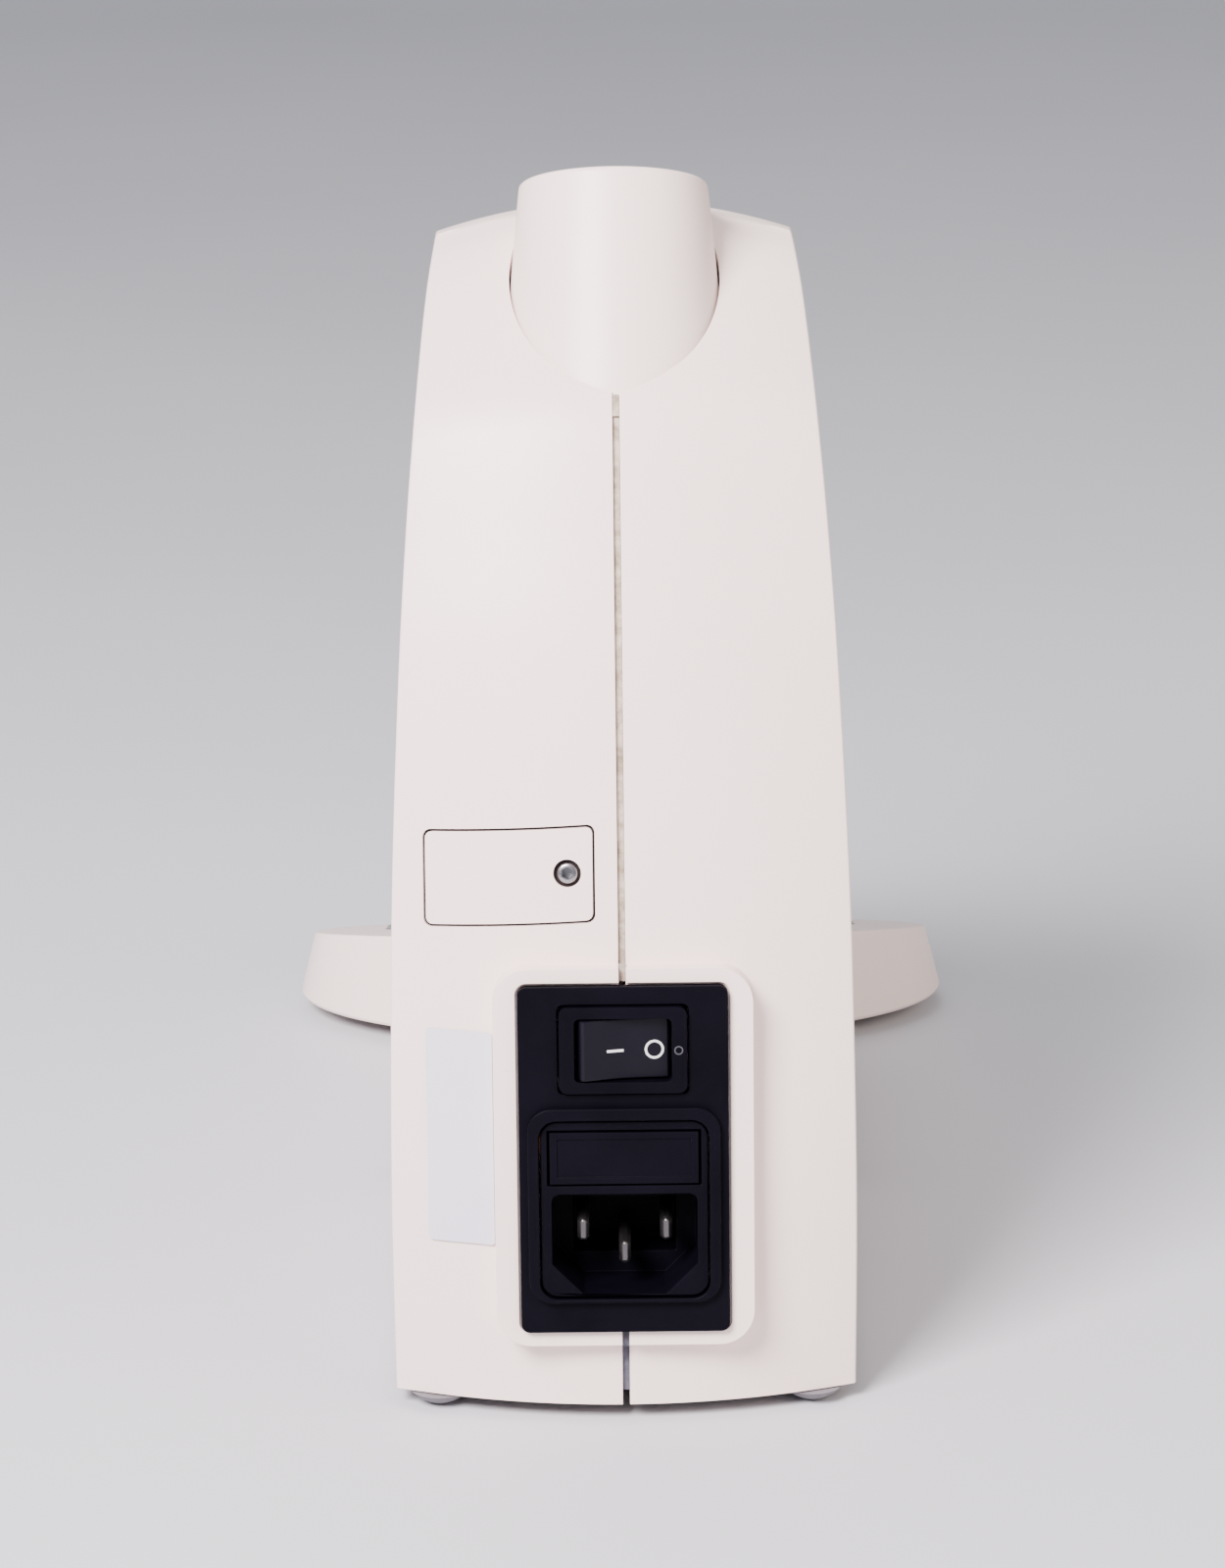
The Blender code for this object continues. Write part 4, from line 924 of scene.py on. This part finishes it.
# ------------------------------------------------------------------ feet
for name, x, s, r, h in (("rear_foot_left", 32.0, 9.6, 5.3, 2.7), ("rear_foot_right", -32.0, 9.6, 5.3, 2.7),
                         ("front_foot_left", 44.0, 222.0, 5.0, 3.1),
                         ("front_foot_right", -44.0, 222.0, 5.0, 3.1)):
    R = (r * r + h * h) / (2 * h)
    prof = [(0, h), (r * 0.97, h), (r, h - 0.08)]
    for k in range(1, 14):
        t = (h - 0.08) * (1 - k / 14)
        prof.append((math.sqrt(max(R * R - (R - t) ** 2, 0.01)), t))
    prof += [(1.55, 0.0), (0, 0)]
    f = turned(name + "_raw", prof, None, W(x, s, 0), None, 48)
    stand_in(baked(f, name + "_dome"), name, angle=50)
    DONE.add(name)

# ------------------------------------------------------------------ front foot
def top_z(s):
    return FOOT_TOP_Z + (FOOT_S - s) * math.tan(FOOT_SLOPE)


def foot_ring(a, rear, front, zf, n=120):
    ring = []
    for k in range(n):
        t = 2 * math.pi * k / n
        s = FOOT_S + (front if math.cos(t) > 0 else rear) * math.cos(t)
        ring.append((a * math.sin(t), s, zf(s)))
    return ring


def loft(name, rings):
    bm = bmesh.new()
    rows = [[bm.verts.new(W(*p)) for p in ring] for ring in rings]
    for a, b in zip(rows, rows[1:]):
        for k in range(len(a)):
            bm.faces.new((a[k], a[(k + 1) % len(a)], b[(k + 1) % len(a)], b[k]))
    bm.faces.new(rows[0])
    bm.faces.new(rows[-1])
    return obj_from_bm(name, bm)


def chamber_outline(off, n=24):
    w, r = CH_W / 2 - off, 33.0 - off
    pts = [(w, 119.0 + off), (w, CH_FRONT - 33.0)]
    for k in range(1, n + 1):
        a = math.radians(90 * k / n)
        pts.append((w - r + r * math.cos(a), CH_FRONT - 33.0 + r * math.sin(a)))
    ring = pts + [(-x, s) for x, s in reversed(pts)]
    return [(x, Y_REAR - s) for x, s in ring]


def on_top(x, s, h=0.0):
    return W(x, s + math.sin(FOOT_SLOPE) * h, top_z(s) + math.cos(FOOT_SLOPE) * h)


TOP_ROT = lean(FOOT_SLOPE)
steps = []
for k in range(7):                      # rounded shoulder between wall and top
    t = math.pi / 2 * k / 6
    inset, drop = 0.9 * (1 - math.cos(t)), 0.9 * (1 - math.sin(t))
    steps.append(foot_ring(FOOT_A - 2.9 - inset, FOOT_REAR - 3.6 - inset, FOOT_FRONT - 3.6 - inset,
                           lambda s, d=drop: max(top_z(s) - d, 5.0)))
foot = loft("foot_raw", [foot_ring(FOOT_A - 0.9, FOOT_REAR - 0.9, FOOT_FRONT - 0.9, lambda s: 3.4),
                         foot_ring(FOOT_A - 0.35, FOOT_REAR - 0.35, FOOT_FRONT - 0.35, lambda s: 3.55),
                         foot_ring(FOOT_A, FOOT_REAR, FOOT_FRONT, lambda s: 4.2), *steps])
boolean(foot, loft("foot_inside", [
    foot_ring(FOOT_A - 5.0, FOOT_REAR - 5.0, FOOT_FRONT - 14.0, lambda s: -3.0),
    foot_ring(FOOT_A - 6.4, FOOT_REAR - 7.2, FOOT_FRONT - 15.0, lambda s: top_z(s) - 2.2)]))
boolean(foot, outline("foot_notch", chamber_outline(-0.4), 90, None, Vector((0, 0, 30 * MM))))
boolean(foot, box("display_cut", (34.6, 14.6, 12), None, on_top(0, 225), TOP_ROT))
KEYS = (("start_button", 30.0), ("stop_button", -30.0), ("time_up_button", 45.0),
        ("time_down_button", -45.0))
for name, x in KEYS:
    boolean(foot, cyl(name + "_hole", 4.9, 12, None, on_top(x, 226.0), TOP_ROT, n=48))
stand_in(baked(foot, "foot_housing_shell"), "foot_housing", angle=30)
DONE.add("foot_housing")
for name, x in KEYS:
    k = turned(name + "_raw", [(0, 0.55), (2.4, 0.62), (3.6, 0.78), (4.1, 0.76), (4.4, 0.55), (4.5, 0.2),
                               (4.5, -3.0), (0, -3.0)], None, on_top(x, 226.0), TOP_ROT, 48)
    stand_in(baked(k, name + "_cap"), name, angle=40)
    DONE.add(name)
# raised symbols on the keys: triangle, square, plus, minus
for name, x in KEYS:
    at = on_top(x, 226.0, 0.60)
    if name == "start_button":
        sh = [outline("k", [(-1.0, -1.3), (1.4, 0.0), (-1.0, 1.3)], 0.16, None, at, TOP_ROT)]
    elif name == "stop_button":
        sh = [box("k", (2.1, 2.1, 0.16), None, at, TOP_ROT)]
    elif name == "time_up_button":
        plus = [(-0.3, -1.3), (0.3, -1.3), (0.3, -0.3), (1.3, -0.3), (1.3, 0.3), (0.3, 0.3), (0.3, 1.3),
                (-0.3, 1.3), (-0.3, 0.3), (-1.3, 0.3), (-1.3, -0.3), (-0.3, -0.3)]
        sh = [outline("k", plus, 0.16, None, at, TOP_ROT)]
    else:
        sh = [box("k", (2.6, 0.6, 0.16), None, at, TOP_ROT)]
    dress(baked(sh[0], name + "_symbol"), "mark", name, bevel=0.04)

# ------------------------------------------------------------------ chamber housing, bowl, lid
housing = outline("chamber_raw", chamber_outline(0), CH_TOP - 3.2, None,
                  Vector((0, 0, (3.2 + CH_TOP) / 2 * MM)))
bv = housing.modifiers.new("edge", "BEVEL")
bv.width, bv.segments, bv.limit_method, bv.angle_limit = 1.4 * MM, 5, "ANGLE", math.radians(60)
boolean(housing, outline("chamber_inside", chamber_outline(WALL), 70, None,
                         Vector((0, 0, (CH_TOP - 2.6 - 35) * MM))))
boolean(housing, cyl("chamber_mouth", 36.4, 20, None, W(0, CH_S, CH_TOP), n=120))
boolean(housing, box("chamber_slot_rear", (38.0, 12.0, 8.0), None, W(0, 119, 3.0)))
boolean(housing, box("chamber_slot_front", (38.0, 20.0, 8.0), None, W(0, CH_FRONT, 3.0)))
boolean(housing, box("latch_hole", (15.2, 12.0, 7.2), None, W(0, CH_FRONT, 52)))
for sx in (-1, 1):
    boolean(housing, box("hinge_lug_%d" % sx, (4, 6.4, 10.0), None, W(sx * 17.2, 122.8, 65.2)),
            "UNION")
boolean(housing, cyl("hinge_bore", 1.8, 60, None, W(0, 122.8, 67),
                     Matrix.Rotation(math.pi / 2, 4, "Y"), n=32))
stand_in(baked(housing, "chamber_housing_shell"), "chamber_housing", angle=30)
bowl = turned("bowl_raw", [
    (34.4, 63.0), (34.6, 63.2), (38.0, 63.2), (38.3, 63.0), (38.3, 62.3), (35.5, 62.3), (35.5, 34.0),
    (33.8, 32.4), (6.5, 32.4), (6.5, 34.0), (31.0, 34.0), (33.0, 34.4), (34.1, 35.4), (34.4, 37.0)],
    None, W(0, CH_S, 0), None, 120)
stand_in(baked(bowl, "chamber_bowl_liner"), "chamber_bowl", angle=30)
lid = turned("lid_raw", [
    (0, 79.0), (5, 78.94), (9, 78.75), (13.5, 78.35), (18, 77.75), (22, 76.95), (26, 75.95), (30, 74.65),
    (33, 73.3), (36, 71.5), (38, 69.9), (39.6, 68.0), (40.6, 66.2), (41.0, 65.0), (41.0, 62.7),
    (40.8, 62.5), (39.4, 62.5), (39.2, 62.7), (39.2, 65.0), (38.6, 66.2), (36.6, 68.6), (34.5, 70.2),
    (32, 71.6), (28.5, 73.1), (25, 74.25), (21, 75.25), (17.5, 75.9), (13, 76.4), (9, 76.75), (0, 77.0)],
    None, W(0, CH_S, 0), None, 128)
for sx in (-1, 1):
    boolean(lid, box("lid_arm_%d" % sx, (4, 10.2, 6.4), None, W(sx * 12.6, 125.0, 66.3)), "UNION")
boolean(lid, cyl("lid_cavity_keep", 38.6, 9.6, None, W(0, CH_S, 60.9), n=128))
boolean(lid, cyl("lid_bore", 1.85, 60, None, W(0, 122.8, 67),
                 Matrix.Rotation(math.pi / 2, 4, "Y"), n=32))
stand_in(baked(lid, "lid_dome"), "lid", angle=35)
DONE |= {"chamber_housing", "chamber_bowl", "lid"}

# ------------------------------------------------------------------ rotor
rotor = turned("rotor_raw", [
    (3.3, 49.0), (8.0, 49.0), (9.0, 49.2), (28.5, 55.6), (30.0, 56.0), (31.0, 55.8), (ROTOR_R, 55.0),
    (ROTOR_R, 40.8), (31.2, 39.6), (30.0, 38.0), (10.0, 36.6), (3.3, 36.6)], None,
    W(0, CH_S, 0), None, 96)
for k in range(8):
    a = 2 * math.pi * (k + 0.5) / 8
    tilt = Matrix.Rotation(a, 4, "Z") @ Matrix.Rotation(math.radians(-35), 4, "Y")
    boolean(rotor, cyl("tube_bore_%d" % k, 3.3, 26, None, W(0, CH_S, 0) + Matrix.Rotation(a, 4, "Z")
                       @ Vector((19.4 * MM, 0, 53.6 * MM)), tilt, n=32))
stand_in(baked(rotor, "rotor_body"), "rotor", angle=30)
nut = turned("nut_raw", [(0, 56.9), (3.0, 56.9), (4.4, 56.6), (5.1, 56.0), (5.4, 55.2), (5.4, 50.2),
                         (6.4, 49.6), (6.4, 49.3), (0, 49.3)], None, W(0, CH_S, 0), None, 64)
for k in range(16):
    a = 2 * math.pi * k / 16
    boolean(nut, cyl("nut_knurl_%d" % k, 0.5, 12.0, None,
                     W(5.6 * math.cos(a), CH_S + 5.6 * math.sin(a), 57.6), None, n=10))
stand_in(baked(nut, "rotor_nut_cap"), "rotor_nut", angle=30)
DONE |= {"rotor", "rotor_nut"}

# ------------------------------------------------------------------ the rest keep their CAD shape
SOFT = {"release_button": 0.6, "display_window": 0.25, "transformer_coil": 0.8,
        "transformer_core": 0.5,
        "base_plate": 0.2, "latch_hook": 0.15}
DONE |= {"seam_strip_upper", "seam_strip_lower"}
for node in sorted(NODES):
    if node not in DONE:
        refined(node, bevel=SOFT.get(node, 0.15), seg=3 if node == "release_button" else 2)
# strip behind the seam: where it runs through the boss, and its end under the round head
fill = box("seam_fill_raw", (1.1, 2.9, 1.0), None, plate_frame(0, -31.9, -1.9), PLATE_ROT)
dress(baked(fill, "seam_strip_boss"), "seam_strip", "base", bevel=0.12)
fill = box("seam_fill_top_raw", (1.1, 2.9, 1.0), None, plate_frame(0, 31.7, -1.9), PLATE_ROT)
dress(baked(fill, "seam_strip_boss_top"), "seam_strip", "base", bevel=0.12)


def seam_line(name, z0, z1, tongue, d0, d1, flange):
    """Strip that follows the rear line behind the open seam: tongue in the gap, flange inside."""
    sec = [(-4, 4.2), (4, 4.2), (4, 2.75), (tongue, 2.75), (tongue, d0), (-tongue, d0),
           (-tongue, 2.75), (-4, 2.75)] if flange else [(-tongue, d1), (tongue, d1), (tongue, d0),
                                                        (-tongue, d0)]
    bm = bmesh.new()
    rows = []

    def station(q, n):
        rows.append([bm.verts.new(W(x, q.x + n.x * d, q.y + n.y * d)) for x, d in sec])

    def at(z):
        for i, (a, b) in enumerate(zip(REAR_LINE, REAR_LINE[1:])):
            if a.y <= z <= b.y:
                return a.lerp(b, (z - a.y) / (b.y - a.y)), inward(REAR_LINE, i, False)

    station(*at(z0))
    for i, q in enumerate(REAR_LINE):
        if z0 < q.y < z1 and q.x < 60:
            station(q, inward(REAR_LINE, i, False))
    station(*at(z1))
    for a, b in zip(rows, rows[1:]):
        for k in range(len(sec)):
            bm.faces.new((a[k], a[(k + 1) % len(sec)], b[(k + 1) % len(sec)], b[k]))
    bm.faces.new(rows[0])
    bm.faces.new(rows[-1])
    return obj_from_bm(name, bm)


stand_in(seam_line("seam_strip_upper_tongue", 82.5, 168.0, 0.54, 0.75, 0, True), "seam_strip_upper")
stand_in(seam_line("seam_strip_lower_tongue", 5.4, 11.2, 0.54, 0.75, 0, True), "seam_strip_lower")
dress(seam_line("seam_strip_lower_link", 11.2, 15.2, 0.54, 0.75, 1.6, False), "seam_strip", "base")
dress(seam_line("seam_strip_upper_link", 79.6, 82.5, 0.54, 0.75, 1.6, False), "seam_strip", "base")
dress(seam_line("seam_strip_end", 168.0, 171.2, 0.54, 0.25, 0.42, False), "seam_strip", "base")

# ------------------------------------------------------------------ floor, light, camera
m, nt, b = principled("studio_floor")
sweep = noise_tex(nt, coords(nt), 3.0, 3.0)
nt.links.new(ramp(nt, sweep, [(0.3, (0.56, 0.57, 0.60)), (0.7, (0.59, 0.60, 0.63))]),
             b.inputs["Base Color"])
b.inputs["Roughness"].default_value = 0.65
bm = bmesh.new()
prof = [(3.0, 0.0), (-1.6, 0.0)]
prof += [(-1.6 - 0.8 * math.sin(math.radians(a)), 0.8 - 0.8 * math.cos(math.radians(a)))
         for a in range(6, 91, 6)]
prof += [(-2.4, 3.2)]
rows = [[bm.verts.new((x, y, z)) for x in (-4.0, 4.0)] for y, z in prof]
for a, c in zip(rows, rows[1:]):
    bm.faces.new((a[0], a[1], c[1], c[0]))
me = bpy.data.meshes.new("floor")
bm.to_mesh(me)
bm.free()
me.shade_smooth()
me.materials.append(m)
floor = bpy.data.objects.new("floor", me)
bpy.context.scene.collection.objects.link(floor)

world = bpy.data.worlds.new("studio")
bpy.context.scene.world = world
world.use_nodes = True
world.node_tree.nodes["Background"].inputs["Color"].default_value = (0.86, 0.90, 1.0, 1)
world.node_tree.nodes["Background"].inputs["Strength"].default_value = 0.48


def area(name, at, target, size, power, colour=(1, 1, 1)):
    li = bpy.data.lights.new(name, "AREA")
    li.shape, li.size, li.energy, li.color = "SQUARE", size, power, colour
    ob = bpy.data.objects.new(name, li)
    bpy.context.scene.collection.objects.link(ob)
    ob.location = at
    ob.rotation_mode = "QUATERNION"
    ob.rotation_quaternion = (Vector(target) - Vector(at)).to_track_quat("-Z", "Y")


area("key", (0.45, 0.78, 0.80), (0, 0.05, 0.15), 0.45, 42.0, (1.0, 0.92, 0.94))
area("fill", (-1.1, 0.8, 0.8), (0, 0.05, 0.12), 0.9, 14.0, (1.0, 0.85, 0.74))
area("top", (0.1, -0.35, 1.4), (0, 0.0, 0.05), 0.9, 6.0, (0.97, 0.98, 1.0))

cam_data = bpy.data.cameras.new("camera")
cam = bpy.data.objects.new("camera", cam_data)
bpy.context.scene.collection.objects.link(cam)
CAM_BACK, CAM_H, PITCH, F_PX, ROLL = 795.7, 348.9, math.radians(16.5), 5160.0, math.radians(0.63)
cam_data.sensor_width = 36.0
cam_data.lens = F_PX * 36.0 / 1600.0
cam_data.clip_start, cam_data.clip_end = 0.01, 20.0
fwd = Vector((0, -math.cos(PITCH), -math.sin(PITCH)))
right = fwd.cross(Vector((0, 0, 1))).normalized()
up0 = right.cross(fwd)
up = up0 * math.cos(ROLL) + right * math.sin(ROLL)
rt = right * math.cos(ROLL) - up0 * math.sin(ROLL)
cam.matrix_world = Matrix.Translation(W(1.25, -CAM_BACK, CAM_H)) @ Matrix((
    (rt.x, up.x, -fwd.x, 0), (rt.y, up.y, -fwd.y, 0), (rt.z, up.z, -fwd.z, 0), (0, 0, 0, 1)))
bpy.context.scene.camera = cam
